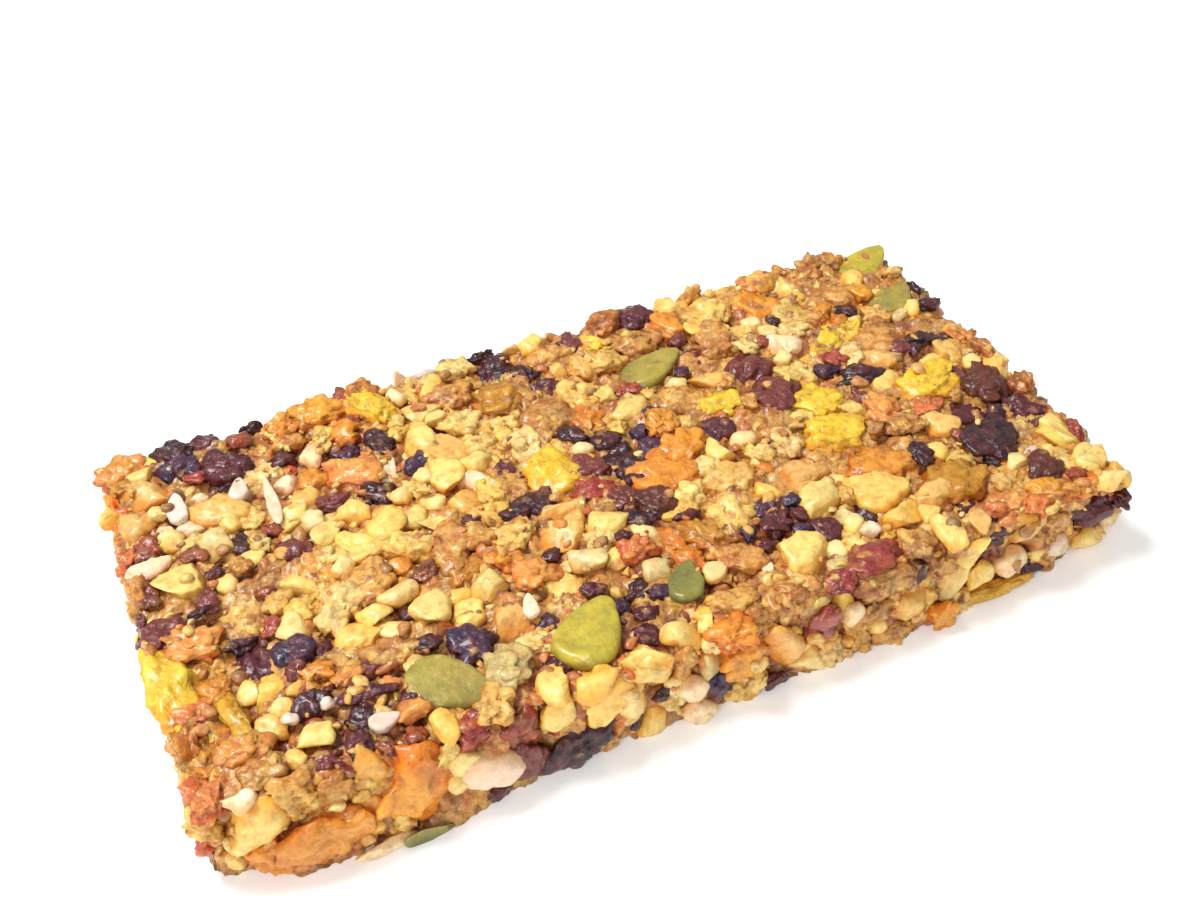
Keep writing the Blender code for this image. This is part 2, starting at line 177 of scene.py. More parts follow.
TOP_SPOTS = (
    Spot(Kind.FRUIT, Tint.SALMON, -48.5, 23.8, 6.5, 5.0, 10, 0.8),
    Spot(Kind.NUT, Tint.CREAM, -46.8, 21.4, 3.6, 2.4, 0, 0.9),
    Spot(Kind.RAISIN, Tint.NAVY, -42.3, 21.3, 5.5, 5.0, -60, 0.9),
    Spot(Kind.RAISIN, Tint.PLUM, -37.8, 18.8, 8.0, 6.5, -50, 1.1),
    Spot(Kind.CRANBERRY, Tint.MAROON, -35.3, 23.0, 3.4, 2.6, 20, 0.7),
    Spot(Kind.NUT, Tint.TAN, -46.5, 18.0, 6.5, 4.5, -20, 0.9),
    Spot(Kind.NUT, Tint.LEMON, -50.8, 17.2, 3.6, 2.5, 80, 0.3),
    Spot(Kind.NUT, Tint.TAN, -48.6, 13.8, 5.5, 4.5, 60, 0.7),
    Spot(Kind.SUNFLOWER, Tint.LILAC_SEED, -44.0, 14.0, 4.8, 2.3, 84, 1.0),
    Spot(Kind.NUT, Tint.HONEY, -39.8, 12.6, 7.5, 5.5, -35, 0.7),
    Spot(Kind.SUNFLOWER, Tint.LILAC_SEED, -37.2, 14.2, 3.6, 2.2, 75, 0.9),
    Spot(Kind.CRANBERRY, Tint.MAROON, -48.2, 9.8, 4.5, 3.5, 70, 0.3),
    Spot(Kind.FRUIT, Tint.CORAL, -50.6, 8.6, 4.0, 2.5, 90, 0.1),
    Spot(Kind.NUT, Tint.LIME_NUT, -45.5, 10.0, 3.2, 3.0, 0, 0.6),
    Spot(Kind.CRANBERRY, Tint.MAROON, -43.7, 6.4, 3.2, 2.8, 0, 0.5),
    Spot(Kind.NUT, Tint.MINT, -41.3, 6.9, 4.8, 3.6, 80, 1.0),
    Spot(Kind.RAISIN, Tint.PRUNE, -39.0, 6.6, 4.8, 2.2, 85, 0.0),
    Spot(Kind.NUT, Tint.MILK, -48.6, 6.2, 5.0, 2.6, 0, 0.6),
    Spot(Kind.NUT, Tint.CREAM, -46.0, 3.2, 5.5, 4.5, 0, 0.8),
    Spot(Kind.CRANBERRY, Tint.PLUM, -49.2, 2.6, 4.0, 2.6, 90, 0.5),
    Spot(Kind.RAISIN, Tint.PLUM, -42.4, 2.8, 2.4, 2.2, 0, 0.6),
    Spot(Kind.RAISIN, Tint.MAUVE, -44.0, -0.8, 3.6, 2.6, 85, 0.5),
    Spot(Kind.SUNFLOWER, Tint.MILK, -34.3, 11.5, 9.0, 1.5, 88, 0.5),
    Spot(Kind.CRANBERRY, Tint.MAROON, -35.4, 7.0, 2.2, 2.0, 0, 0.2),
    Spot(Kind.FRUIT, Tint.APRICOT, -30.3, 23.3, 4.8, 4.2, 30, 0.7),
    Spot(Kind.FRUIT, Tint.TANGERINE, -25.7, 24.0, 6.8, 5.2, 10, 0.9),
    Spot(Kind.CRANBERRY, Tint.MAROON, -22.4, 25.8, 3.2, 2.2, 85, 0.4),
    Spot(Kind.CRANBERRY, Tint.MAROON, -23.3, 20.8, 3.6, 2.4, 0, 0.2),
    Spot(Kind.FRUIT, Tint.MANGO, -19.8, 21.8, 9.0, 4.6, -70, 1.1),
    Spot(Kind.DATE, Tint.ROSE_CRUMB, -30.0, 20.2, 4.4, 2.4, 0, 0.5),
    Spot(Kind.RAISIN, Tint.PLUM, -31.5, 17.8, 3.2, 2.6, 0, 0.5),
    Spot(Kind.NUT, Tint.MILK, -28.6, 16.3, 3.6, 2.5, 80, 0.9),
    Spot(Kind.CRANBERRY, Tint.MAROON, -27.4, 14.6, 4.2, 1.8, -45, -0.1),
    Spot(Kind.FRUIT, Tint.SALMON, -25.2, 12.2, 8.0, 5.5, -25, 0.8),
    Spot(Kind.RAISIN, Tint.PRUNE, -23.3, 7.5, 5.5, 4.0, -30, 0.5),
    Spot(Kind.RAISIN, Tint.MAUVE, -28.3, 8.3, 4.2, 3.2, 0, 0.5),
    Spot(Kind.RAISIN, Tint.PRUNE, -21.0, 16.0, 4.5, 3.5, -50, 0.4),
    Spot(Kind.NUT, Tint.CREAM, -27.2, 5.4, 5.0, 3.2, 0, 0.9),
    Spot(Kind.NUT, Tint.LEMON, -24.2, 1.8, 4.8, 4.5, 15, 1.0),
    Spot(Kind.NUT, Tint.LIME_NUT, -30.6, 3.5, 3.8, 3.0, 40, 0.7),
    Spot(Kind.RAISIN, Tint.MAUVE, -34.0, 2.8, 4.2, 3.6, 0, 0.4),
    Spot(Kind.FRUIT, Tint.SALMON, -46.7, -6.3, 6.5, 4.6, -20, 0.8),
    Spot(Kind.FRUIT, Tint.MANGO, -49.5, -11.0, 12.6, 5.2, -84, 0.9),
    Spot(Kind.FRUIT, Tint.AMBER, -48.4, -19.6, 6.6, 3.2, 86, 0.4),
    Spot(Kind.FRUIT, Tint.GOLD, -44.8, -16.8, 10.2, 2.4, -78, 0.6),
    Spot(Kind.FRUIT, Tint.CORAL, -49.0, -24.4, 5.0, 3.2, 80, 0.4),
    Spot(Kind.NUT, Tint.MILK, -46.6, -26.2, 3.2, 2.2, 0, 0.3),
    Spot(Kind.DATE, Tint.MAUVE, -43.6, -24.3, 5.0, 4.0, 20, 0.7),
    Spot(Kind.NUT, Tint.CREAM, -38.6, -22.6, 3.8, 3.2, 0, 1.0),
    Spot(Kind.RAISIN, Tint.NAVY, -37.7, -11.5, 4.6, 4.2, 0, 1.0),
    Spot(Kind.CRANBERRY, Tint.CRANBERRY, -38.9, -7.2, 2.6, 2.2, 80, 0.7),
    Spot(Kind.CRANBERRY, Tint.MAROON, -38.3, -2.0, 2.2, 1.6, 0, 0.2),
    Spot(Kind.RAISIN, Tint.PRUNE, -38.0, -18.3, 4.2, 3.6, 0, 0.7),
    Spot(Kind.GRAIN, Tint.LILAC_SEED, -40.2, -19.8, 1.7, 1.4, 0, 0.9),
    Spot(Kind.GRAIN, Tint.LILAC_SEED, -36.6, -19.6, 1.5, 1.3, 0, 1.1),
    Spot(Kind.FRUIT, Tint.APRICOT, -36.5, -15.0, 3.6, 2.2, 0, 0.8),
    Spot(Kind.FRUIT, Tint.SALMON, -33.8, -17.0, 3.2, 1.9, 20, 0.8),
    Spot(Kind.RAISIN, Tint.PLUM, -32.8, -19.6, 6.0, 3.2, -10, 0.9),
    Spot(Kind.RAISIN, Tint.PRUNE, -34.3, -22.8, 4.8, 3.0, 80, 0.6),
    Spot(Kind.DATE, Tint.DATE, -29.0, -15.6, 7.5, 4.4, -15, 0.7),
    Spot(Kind.SUNFLOWER, Tint.LILAC_SEED, -32.3, -23.8, 3.2, 2.1, 10, 1.0),
    Spot(Kind.FRUIT, Tint.SALMON, -29.5, -23.6, 3.4, 2.6, 0, 0.8),
    Spot(Kind.NUT, Tint.CREAM, -29.2, -10.2, 3.8, 2.7, 0, 0.8),
    Spot(Kind.NUT, Tint.IVORY, -26.2, -8.4, 4.6, 2.7, 10, 1.0),
    Spot(Kind.NUT, Tint.LIME_NUT, -23.9, -12.0, 4.4, 4.2, 0, 1.0),
    Spot(Kind.CRANBERRY, Tint.PLUM, -22.9, -6.4, 3.6, 3.0, 0, 0.5),
    Spot(Kind.RAISIN, Tint.PRUNE, -25.8, -11.2, 2.4, 2.0, 0, 0.1),
    Spot(Kind.DATE, Tint.ROSE_CRUMB, -19.2, -4.0, 8.0, 5.0, 80, 0.6),
    Spot(Kind.RAISIN, Tint.NAVY, -21.8, -18.0, 6.0, 5.2, 30, 1.1),
    Spot(Kind.RAISIN, Tint.PRUNE, -25.6, -16.0, 3.4, 2.8, 0, 0.6),
    Spot(Kind.PUMPKIN, Tint.PUMPKIN_OLIVE, -25.2, -22.0, 9.5, 6.0, -38, 0.75),
    Spot(Kind.FRUIT, Tint.MINT, -19.6, -22.4, 5.6, 4.6, 60, 0.9),
    Spot(Kind.NUT, Tint.LEMON, -27.4, -26.3, 4.2, 2.6, 85, 0.7),
    Spot(Kind.CRANBERRY, Tint.CRANBERRY, -25.0, -26.8, 3.8, 3.0, 0, 0.4),
    Spot(Kind.RAISIN, Tint.PRUNE, -9.8, -2.0, 6.5, 3.6, -10, 0.6),
    Spot(Kind.NUT, Tint.HONEY, -7.8, -7.0, 6.0, 5.2, 70, 0.9),
    Spot(Kind.NUT, Tint.CREAM, -2.8, -8.0, 5.0, 4.2, 60, 1.1),
    Spot(Kind.RAISIN, Tint.PRUNE, -10.3, -9.6, 3.4, 2.0, 0, 0.0),
    Spot(Kind.NUT, Tint.MINT, -7.0, -12.4, 4.2, 3.6, 0, 1.0),
    Spot(Kind.NUT, Tint.LIME_NUT, -18.0, -11.2, 4.2, 3.6, 20, 0.9),
    Spot(Kind.FRUIT, Tint.SALMON, -12.8, -11.5, 5.0, 4.6, 0, 0.7),
    Spot(Kind.FRUIT, Tint.CORAL, -1.8, -13.0, 4.6, 3.8, 10, 0.8),
    Spot(Kind.RAISIN, Tint.UMBER, 3.0, -7.2, 6.2, 5.2, -20, 0.9),
    Spot(Kind.RAISIN, Tint.PLUM, 5.2, -10.6, 3.4, 1.8, 0, 0.3),
    Spot(Kind.FRUIT, Tint.AMBER, 5.4, -14.4, 6.5, 3.4, -65, 0.8),
    Spot(Kind.PUMPKIN, Tint.PUMPKIN_LIME, -10.8, -21.6, 9.3, 6.8, 45, 1.0),
    Spot(Kind.PUMPKIN, Tint.PUMPKIN_DARK, 0.6, -19.5, 6.0, 3.8, 60, 0.7),
    Spot(Kind.NUT, Tint.MINT, -1.4, -16.8, 3.2, 2.8, 0, 0.8),
    Spot(Kind.RAISIN, Tint.NAVY, -2.6, -19.6, 2.8, 1.8, 0, 0.4),
    Spot(Kind.NUT, Tint.TAN, -17.4, -16.8, 5.2, 4.0, 80, 0.7),
    Spot(Kind.SUNFLOWER, Tint.SUNFLOWER, -15.0, -16.3, 3.4, 1.7, 80, 1.1),
    Spot(Kind.RAISIN, Tint.PLUM, -8.3, -16.4, 3.2, 2.4, 0, 0.5),
    Spot(Kind.RAISIN, Tint.PLUM, -4.8, -21.6, 3.0, 2.0, 0, 0.4),
    Spot(Kind.NUT, Tint.CREAM, 13.3, -21.2, 6.6, 6.0, 20, 1.25),
    Spot(Kind.RAISIN, Tint.PLUM, 13.0, -15.8, 4.4, 3.6, 45, 0.7),
    Spot(Kind.SUNFLOWER, Tint.MILK, 9.0, -20.6, 3.0, 1.4, 75, 0.2),
    Spot(Kind.NUT, Tint.CREAM, -16.7, -26.2, 5.4, 3.2, 80, 0.9),
    Spot(Kind.NUT, Tint.LEMON, -12.8, -27.0, 4.8, 4.2, 0, 0.5),
    Spot(Kind.NUT, Tint.CREAM, -7.4, -26.4, 5.0, 4.0, 0, 0.8),
    Spot(Kind.NUT, Tint.CREAM, -3.0, -25.4, 4.4, 3.6, 0, 0.7),
    Spot(Kind.FRUIT, Tint.APRICOT, 1.6, -27.2, 5.4, 4.0, 0, 0.4),
    Spot(Kind.DATE, Tint.HONEY, 3.4, -23.6, 5.4, 3.6, -20, 0.6),
    Spot(Kind.DATE, Tint.TAN, 10.3, -25.0, 5.2, 3.2, -10, 0.6),
    Spot(Kind.NUT, Tint.LIME_NUT, 18.7, -14.8, 6.2, 5.2, 65, 1.2),
    Spot(Kind.RAISIN, Tint.PRUNE, 22.3, -18.4, 3.4, 2.6, 80, 0.0),
    Spot(Kind.GRAIN, Tint.MILK, 20.8, -21.3, 2.2, 2.0, 0, 0.9),
    Spot(Kind.NUT, Tint.LEMON, 25.4, -20.8, 5.2, 3.4, 0, 1.0),
    Spot(Kind.NUT, Tint.TAN, 29.7, -19.6, 5.0, 3.2, 0, 0.9),
    Spot(Kind.RAISIN, Tint.PRUNE, 41.0, -14.2, 9.5, 7.0, 35, 1.1),
    Spot(Kind.RAISIN, Tint.UMBER, 46.3, -5.5, 8.5, 6.0, 70, 0.9),
    Spot(Kind.FRUIT, Tint.AMBER, 33.5, -18.2, 8.0, 7.0, 20, 0.7),
    Spot(Kind.RAISIN, Tint.UMBER, 43.0, -21.2, 5.0, 4.0, 45, 0.8),
    Spot(Kind.NUT, Tint.CREAM, 49.0, -21.8, 4.2, 3.4, 20, 0.7),
    Spot(Kind.NUT, Tint.LEMON, 47.6, -17.4, 5.2, 4.0, -30, 0.8),
    Spot(Kind.FRUIT, Tint.SALMON, 43.0, -25.0, 6.4, 2.8, 0, 0.6),
    Spot(Kind.NUT, Tint.IVORY, 48.0, -25.2, 4.6, 3.2, -10, 0.6),
    Spot(Kind.DATE, Tint.MAROON, 19.0, -24.6, 7.0, 4.2, 15, 0.7),
    Spot(Kind.CRANBERRY, Tint.MAGENTA, 14.4, -26.2, 4.0, 3.0, 0, 0.5),
    Spot(Kind.DATE, Tint.MAUVE, 24.4, -25.4, 4.6, 3.4, 0, 0.6),
    Spot(Kind.NUT, Tint.CREAM, 48.0, -16.8, 5.0, 4.0, 70, 0.9),
    Spot(Kind.NUT, Tint.CREAM, 48.0, -21.8, 4.8, 3.6, 80, 0.6),
    Spot(Kind.FRUIT, Tint.TANGERINE, 41.8, -24.4, 6.4, 3.6, -10, 0.7),
    Spot(Kind.CRANBERRY, Tint.MAGENTA, 19.3, -25.0, 8.5, 4.6, 10, 0.7),
    Spot(Kind.NUT, Tint.CREAM, 28.5, -25.0, 5.4, 3.8, 85, 0.8),
    Spot(Kind.FRUIT, Tint.CORAL, 34.0, -24.2, 4.6, 2.4, 0, 0.5),
    Spot(Kind.DATE, Tint.TAN, 24.2, -24.0, 3.4, 3.0, 0, 0.5),
)

FRONT_SPOTS = (
    Spot(Kind.NUT, Tint.CREAM, -46.0, 6.4, 7.4, 5.8, 20, 1.3, Face.FRONT),
    Spot(Kind.CRANBERRY, Tint.CORAL, -50.6, 4.0, 3.2, 2.2, 85, 0.2, Face.FRONT),
    Spot(Kind.FRUIT, Tint.APRICOT, -40.0, 3.4, 10.5, 7.0, 15, 1.1, Face.FRONT),
    Spot(Kind.FRUIT, Tint.TANGERINE, -31.5, 5.6, 9.0, 8.0, 60, 1.1, Face.FRONT),
    Spot(Kind.PUMPKIN, Tint.PUMPKIN_DARK, -31.4, 0.9, 5.0, 2.0, 0, 1.0, Face.FRONT),
    Spot(Kind.GRAIN, Tint.MILK, -24.2, 4.0, 7.2, 4.8, -10, 1.1, Face.FRONT),
    Spot(Kind.CRANBERRY, Tint.CRANBERRY, -25.2, 8.2, 3.4, 2.6, 0, 0.5, Face.FRONT),
    Spot(Kind.RAISIN, Tint.PRUNE, -15.5, 2.6, 9.0, 5.0, 20, 1.0, Face.FRONT),
    Spot(Kind.NUT, Tint.CREAM, -17.0, 7.8, 4.6, 3.4, 80, 0.9, Face.FRONT),
    Spot(Kind.NUT, Tint.LEMON, -12.2, 7.0, 6.6, 5.0, 70, 1.0, Face.FRONT),
    Spot(Kind.NUT, Tint.CREAM, -7.0, 8.0, 4.6, 3.8, 0, 0.9, Face.FRONT),
    Spot(Kind.RAISIN, Tint.PRUNE, -6.2, 4.6, 2.2, 1.8, 0, 0.2, Face.FRONT),
    Spot(Kind.NUT, Tint.MILK, -3.0, 4.2, 3.8, 2.8, 0, 0.8, Face.FRONT),
    Spot(Kind.NUT, Tint.MILK, -2.4, 1.3, 4.2, 2.5, 0, 1.0, Face.FRONT),
    Spot(Kind.FRUIT, Tint.TANGERINE, 2.6, 5.8, 6.0, 5.6, 0, 0.9, Face.FRONT),
    Spot(Kind.NUT, Tint.TAN, 7.4, 5.0, 6.8, 4.2, -60, 0.8, Face.FRONT),
    Spot(Kind.RAISIN, Tint.PLUM, 6.5, 1.1, 3.6, 1.8, 0, 0.5, Face.FRONT),
    Spot(Kind.CRANBERRY, Tint.MAGENTA, 11.6, 6.0, 6.0, 4.0, 70, 0.9, Face.FRONT),
    Spot(Kind.NUT, Tint.MILK, 15.5, 5.6, 3.6, 2.7, 80, 0.8, Face.FRONT),
    Spot(Kind.DATE, Tint.MAROON, 19.5, 8.2, 8.0, 3.8, 0, 0.8, Face.FRONT),
    Spot(Kind.NUT, Tint.HONEY, 22.3, 3.8, 5.0, 4.0, 0, 0.7, Face.FRONT),
    Spot(Kind.DATE, Tint.DATE, 25.8, 7.4, 3.2, 2.8, 0, 0.6, Face.FRONT),
    Spot(Kind.NUT, Tint.CREAM, 29.8, 7.4, 5.0, 3.4, 70, 0.8, Face.FRONT),
    Spot(Kind.NUT, Tint.CREAM, 31.3, 3.8, 3.8, 3.0, 60, 0.8, Face.FRONT),
    Spot(Kind.NUT, Tint.MILK, 35.2, 3.8, 4.2, 3.8, 0, 1.0, Face.FRONT),
    Spot(Kind.NUT, Tint.TAN, 37.4, 7.8, 5.0, 4.2, 0, 0.8, Face.FRONT),
    Spot(Kind.FRUIT, Tint.GOLD, 33.0, 1.1, 11.0, 2.0, 0, 0.9, Face.FRONT),
    Spot(Kind.FRUIT, Tint.TANGERINE, 26.2, 1.7, 3.8, 3.0, 30, 1.9, Face.FRONT),
    Spot(Kind.RAISIN, Tint.PLUM, 46.2, 5.6, 7.0, 3.6, -5, 0.9, Face.FRONT),
    Spot(Kind.NUT, Tint.LILAC_SEED, 42.0, 3.0, 4.0, 2.8, 0, 0.8, Face.FRONT),
    Spot(Kind.NUT, Tint.CREAM, 46.8, 1.8, 4.6, 2.8, 0, 0.8, Face.FRONT),
    Spot(Kind.NUT, Tint.MILK, -35.4, 0.9, 6.2, 1.7, 0, 1.2, Face.FRONT),
    Spot(Kind.NUT, Tint.MILK, 50.0, 2.4, 3.6, 3.0, 0, 0.2, Face.FRONT),
    Spot(Kind.NUT, Tint.CREAM, 50.6, 7.4, 3.6, 3.0, 0, 0.2, Face.FRONT),
    Spot(Kind.DATE, Tint.ROSE_CRUMB, 41.6, 6.2, 3.6, 3.0, 0, 0.4, Face.FRONT),
)

RIGHT_SPOTS = (
    Spot(Kind.NUT, Tint.CREAM, -22.4, 2.4, 4.4, 3.4, 0, 0.2, Face.RIGHT),
    Spot(Kind.RAISIN, Tint.PLUM, -23.6, 5.9, 4.4, 2.8, 0, 0.4, Face.RIGHT),
    Spot(Kind.NUT, Tint.LEMON, -23.0, 8.6, 3.6, 2.6, 0, 0.4, Face.RIGHT),
)


Line = tuple[tuple[float, float], ...]


def line_at(line: Line, x: float | np.ndarray) -> float | np.ndarray:
    """Reads a line of points at a place along the bar."""
    places, values = zip(*line)
    return np.interp(x, places, values)


@dataclass(frozen=True)
class Outline:
    """The cut outline of the slab, in mm: its ends, its long sides and the foot of its front."""

    left: float = -50.7
    right: float = 50.4
    height: float = 9.9
    belly: float = 0.4
    back_line: Line = ((-50.7, 25.7), (-37.0, 26.2), (-25.0, 27.6), (20.0, 27.4), (50.4, 26.8))
    front_line: Line = ((-50.7, -23.8), (-42.0, -25.8), (0.0, -26.2), (30.0, -25.4), (50.4, -23.8))
    foot_line: Line = (
        (-50.7, -24.8), (-43.4, -28.0), (-29.3, -29.0), (-13.0, -27.4), (21.0, -27.0), (50.4, -24.4)
    )

    def back(self, x: float | np.ndarray) -> float | np.ndarray:
        """Gives the y of the back edge."""
        return line_at(self.back_line, x)

    def front(self, x: float | np.ndarray, z: float | np.ndarray) -> float | np.ndarray:
        """Gives the y of the front at a height: it bulges out to its foot.

        Args:
            x: The place along the bar.
            z: The height.

        Returns:
            The y there.
        """
        top = line_at(self.front_line, x)
        share = (1.0 - np.clip(z / self.height, 0.0, 1.0)) ** 0.7
        return top + (line_at(self.foot_line, x) - top) * share

    def half_length(self) -> float:
        """Gives half the length of the slab."""
        return 0.5 * (self.right - self.left)

    def half_width(self) -> float:
        """Gives half the width of the slab's top at its middle."""
        return -float(self.front(0.0, self.height))


@dataclass(frozen=True)
class Frame:
    """Where a side of the bar lies, and which ways it runs."""

    face: Face
    outline: Outline

    def axes(self) -> tuple[Vector, Vector, Vector]:
        """Gives the directions of this side.

        Returns:
            The directions of u and v, and the outward normal.
        """
        along = {
            Face.TOP: Vector((1, 0, 0)),
            Face.FRONT: Vector((1, 0, 0)),
            Face.BACK: Vector((-1, 0, 0)),
            Face.LEFT: Vector((0, -1, 0)),
            Face.RIGHT: Vector((0, 1, 0)),
            Face.BASE: Vector((1, 0, 0)),
        }[self.face]
        across = Vector((0, 0, 1))
        if self.face is Face.TOP:
            across = Vector((0, 1, 0))
        if self.face is Face.BASE:
            across = Vector((0, -1, 0))
        return along, across, along.cross(across)

    def place(self, u: float, v: float) -> Vector:
        """Gives the point on the slab's surface under a place of this side.

        Args:
            u: How far along the side.
            v: How far up or across the side.

        Returns:
            The point, in mm on the bar.
        """
        cut = self.outline
        if self.face is Face.TOP:
            return Vector((u, v + TOP_MIDDLE_Y, cut.height))
        if self.face is Face.FRONT:
            return Vector((u, float(cut.front(u, v)), v))
        if self.face is Face.BACK:
            return Vector((-u, float(cut.back(-u)) + cut.belly, v))
        if self.face is Face.LEFT:
            return Vector((cut.left - cut.belly, -u, v))
        if self.face is Face.RIGHT:
            return Vector((cut.right + cut.belly, u, v))
        return Vector((u, -v, 0.0))

    def local(self, points: np.ndarray) -> np.ndarray:
        """Turns points on the bar into places of this side.

        Args:
            points: Points in mm on the bar.

        Returns:
            For each point u, v and how far it stands out of the side.
        """
        cut = self.outline
        x, y, z = points.T
        columns = {
            Face.TOP: lambda: (x, y - TOP_MIDDLE_Y, z - cut.height),
            Face.FRONT: lambda: (x, z, cut.front(x, z) - y),
            Face.BACK: lambda: (-x, z, y - cut.back(x) - cut.belly),
            Face.LEFT: lambda: (-y, z, cut.left - cut.belly - x),
            Face.RIGHT: lambda: (y, z, x - cut.right - cut.belly),
            Face.BASE: lambda: (x, -y, -z),
        }[self.face]()
        return np.stack(columns, axis=1)

    def extent(self) -> tuple[float, float, float, float]:
        """Gives how far the side reaches.

        Returns:
            The lowest and the highest u, then the lowest and the highest v.
        """
        cut = self.outline
        half = cut.half_length()
        if self.face in (Face.TOP, Face.BASE):
            low = float(cut.front(0.0, cut.height))
            high = float(cut.back(0.0))
            if self.face is Face.BASE:
                return -half, half, -high, -low
            return -half, half, low - TOP_MIDDLE_Y, high - TOP_MIDDLE_Y
        if self.face in (Face.FRONT, Face.BACK):
            return -half, half, 0.0, cut.height
        return -cut.half_width(), cut.half_width(), 0.0, cut.height


class HeightMap:
    """How far the surface of one side stands out, cell by cell."""

    cell: float = 0.25
    empty: float = -9.0
    deepest: float = -3.5
    margin: float = 2.5
    level_radius: float = 1.3
    fill_rounds: int = 5
    off_map: float = 9.0

    def __init__(self, side: Frame) -> None:
        """Starts an empty map of a side.

        Args:
            side: The side of the bar.
        """
        self.side = side
        self.low_u, high_u, self.low_v, high_v = side.extent()
        self.columns = math.ceil((high_u - self.low_u) / self.cell)
        self.rows = math.ceil((high_v - self.low_v) / self.cell)
        self.heights = np.full((self.columns, self.rows), self.empty)
        self.level = self.heights

    def cells(self, u: np.ndarray, v: np.ndarray) -> tuple[np.ndarray, np.ndarray, np.ndarray]:
        """Finds the cells of some places.

        Args:
            u: How far along the side each place is.
            v: How far up or across the side it is.

        Returns:
            The columns, the rows, and which of the places lie on the map.
        """
        i = np.floor((u - self.low_u) / self.cell).astype(int)
        j = np.floor((v - self.low_v) / self.cell).astype(int)
        on_map = (i >= 0) & (i < self.columns) & (j >= 0) & (j < self.rows)
        return np.clip(i, 0, self.columns - 1), np.clip(j, 0, self.rows - 1), on_map

    def press(self, points: np.ndarray) -> None:
        """Raises the map to the points that stand out of it.

        Args:
            points: Points in mm on the bar.
        """
        u, v, out = self.side.local(points).T
        i, j, on_map = self.cells(u, v)
        seen = on_map & (out > self.deepest)
        np.maximum.at(self.heights, (i[seen], j[seen]), out[seen])

    def settle(self) -> None:
        """Fills the cells that no point fell in and works out the smooth level around each cell."""
        for _ in range(self.fill_rounds):
            padded = np.pad(self.heights, 1, mode="edge")
            beside = [padded[:-2, 1:-1], padded[2:, 1:-1], padded[1:-1, :-2], padded[1:-1, 2:]]
            near = np.maximum.reduce(beside)
            self.heights = np.where(self.heights <= self.deepest, near, self.heights)
        self.heights = np.maximum(self.heights, self.deepest)
        self.level = self.smooth(self.deepest, self.level_radius)

    def smooth(self, floor: float, radius: float) -> np.ndarray:
        """Gives the heights with their bumps averaged out.

        Args:
            floor: What lower cells count as.
            radius: How far around a cell the average reaches.

        Returns:
            The smoothed heights.
        """
        reach = max(1, round(radius / self.cell))
        level = np.maximum(self.heights, floor)
        for axis in (0, 1, 0, 1):
            padded = np.pad(level, [(reach, reach) if k == axis else (0, 0) for k in (0, 1)], mode="edge")
            moved = [np.roll(padded, -k, axis)[: self.columns, : self.rows] for k in range(2 * reach + 1)]
            level = np.mean(moved, axis=0)
        return level

    def height(self, u: float, v: float) -> float:
        """Gives how far the surface stands out at a place."""
        i, j, _ = self.cells(np.array([u]), np.array([v]))
        return float(self.heights[i[0], j[0]])

    def sunk(self, u: float, v: float) -> float:
        """Gives how deep the surface lies under the smooth level at a place."""
        i, j, _ = self.cells(np.array([u]), np.array([v]))
        return float(self.level[i[0], j[0]] - self.heights[i[0], j[0]])

    def depth(self, points: np.ndarray) -> np.ndarray:
        """Gives how deep points lie under the smooth level.

        Args:
            points: Points in mm on the bar.

        Returns:
            The depth of each point in mm, or a large depth off the map.
        """
        u, v, out = self.side.local(points).T
        i, j, _ = self.cells(u, v)
        low_u, high_u, low_v, high_v = self.side.extent()
        past = np.maximum.reduce([low_u - u, u - high_u, low_v - v, v - high_v])
        return np.where(past < self.margin, self.level[i, j] - out, self.off_map)


class Relief:
    """The height maps of every side."""

    def __init__(self, outline: Outline) -> None:
        """Starts an empty map for each side."""
        self.maps = {face: HeightMap(Frame(face, outline)) for face in Face if face is not Face.BASE}

    def press(self, points: np.ndarray) -> None:
        """Raises every map to some points."""
        for map_ in self.maps.values():
            map_.press(points)

    def settle(self) -> None:
        """Finishes every map."""
        for map_ in self.maps.values():
            map_.settle()

    def depth(self, points: np.ndarray) -> np.ndarray:
        """Gives how deep each point lies under the side that it is nearest to."""
        depths = [map_.depth(points) for map_ in self.maps.values()]
        return np.minimum.reduce([*depths, np.maximum(points[:, 2], 0.0)])


class Waves:
    """Smooth random lumps: a sum of plane waves in random directions."""

    def __init__(self, rng: np.random.Generator, frequency: float, count: int = 7) -> None:
        """Draws the waves.

        Args:
            rng: The source of the draws.
            frequency: How many waves fit in a length of one.
            count: How many waves are added up.
        """
        ways = rng.normal(size=(count, 3))
        ways /= np.linalg.norm(ways, axis=1, keepdims=True)
        self.ways = ways * frequency * rng.uniform(0.6, 1.4, (count, 1)) * math.tau
        self.starts = rng.uniform(0.0, math.tau, count)

    def at(self, points: np.ndarray) -> np.ndarray:
        """Gives the height of the lumps at some points, mostly between -1 and 1."""
        return np.sin(points @ self.ways.T + self.starts).sum(axis=1) / math.sqrt(len(self.starts))


class Ball:
    """Round starting meshes, kept so that each is built once."""

    kept: dict[int, tuple[np.ndarray, np.ndarray]] = {}

    @classmethod
    def of(cls, subdivisions: int) -> tuple[np.ndarray, np.ndarray]:
        """Gives the points and the triangles of a ball of radius one.

        Args:
            subdivisions: How fine the ball is.

        Returns:
            The points and the triangles.
        """
        if subdivisions not in cls.kept:
            bm = bmesh.new()
            bmesh.ops.create_icosphere(bm, subdivisions=subdivisions, radius=1.0)
            points = np.array([v.co[:] for v in bm.verts])
            faces = np.array([[v.index for v in f.verts] for f in bm.faces])
            bm.free()
            cls.kept[subdivisions] = (points, faces)
        return cls.kept[subdivisions]


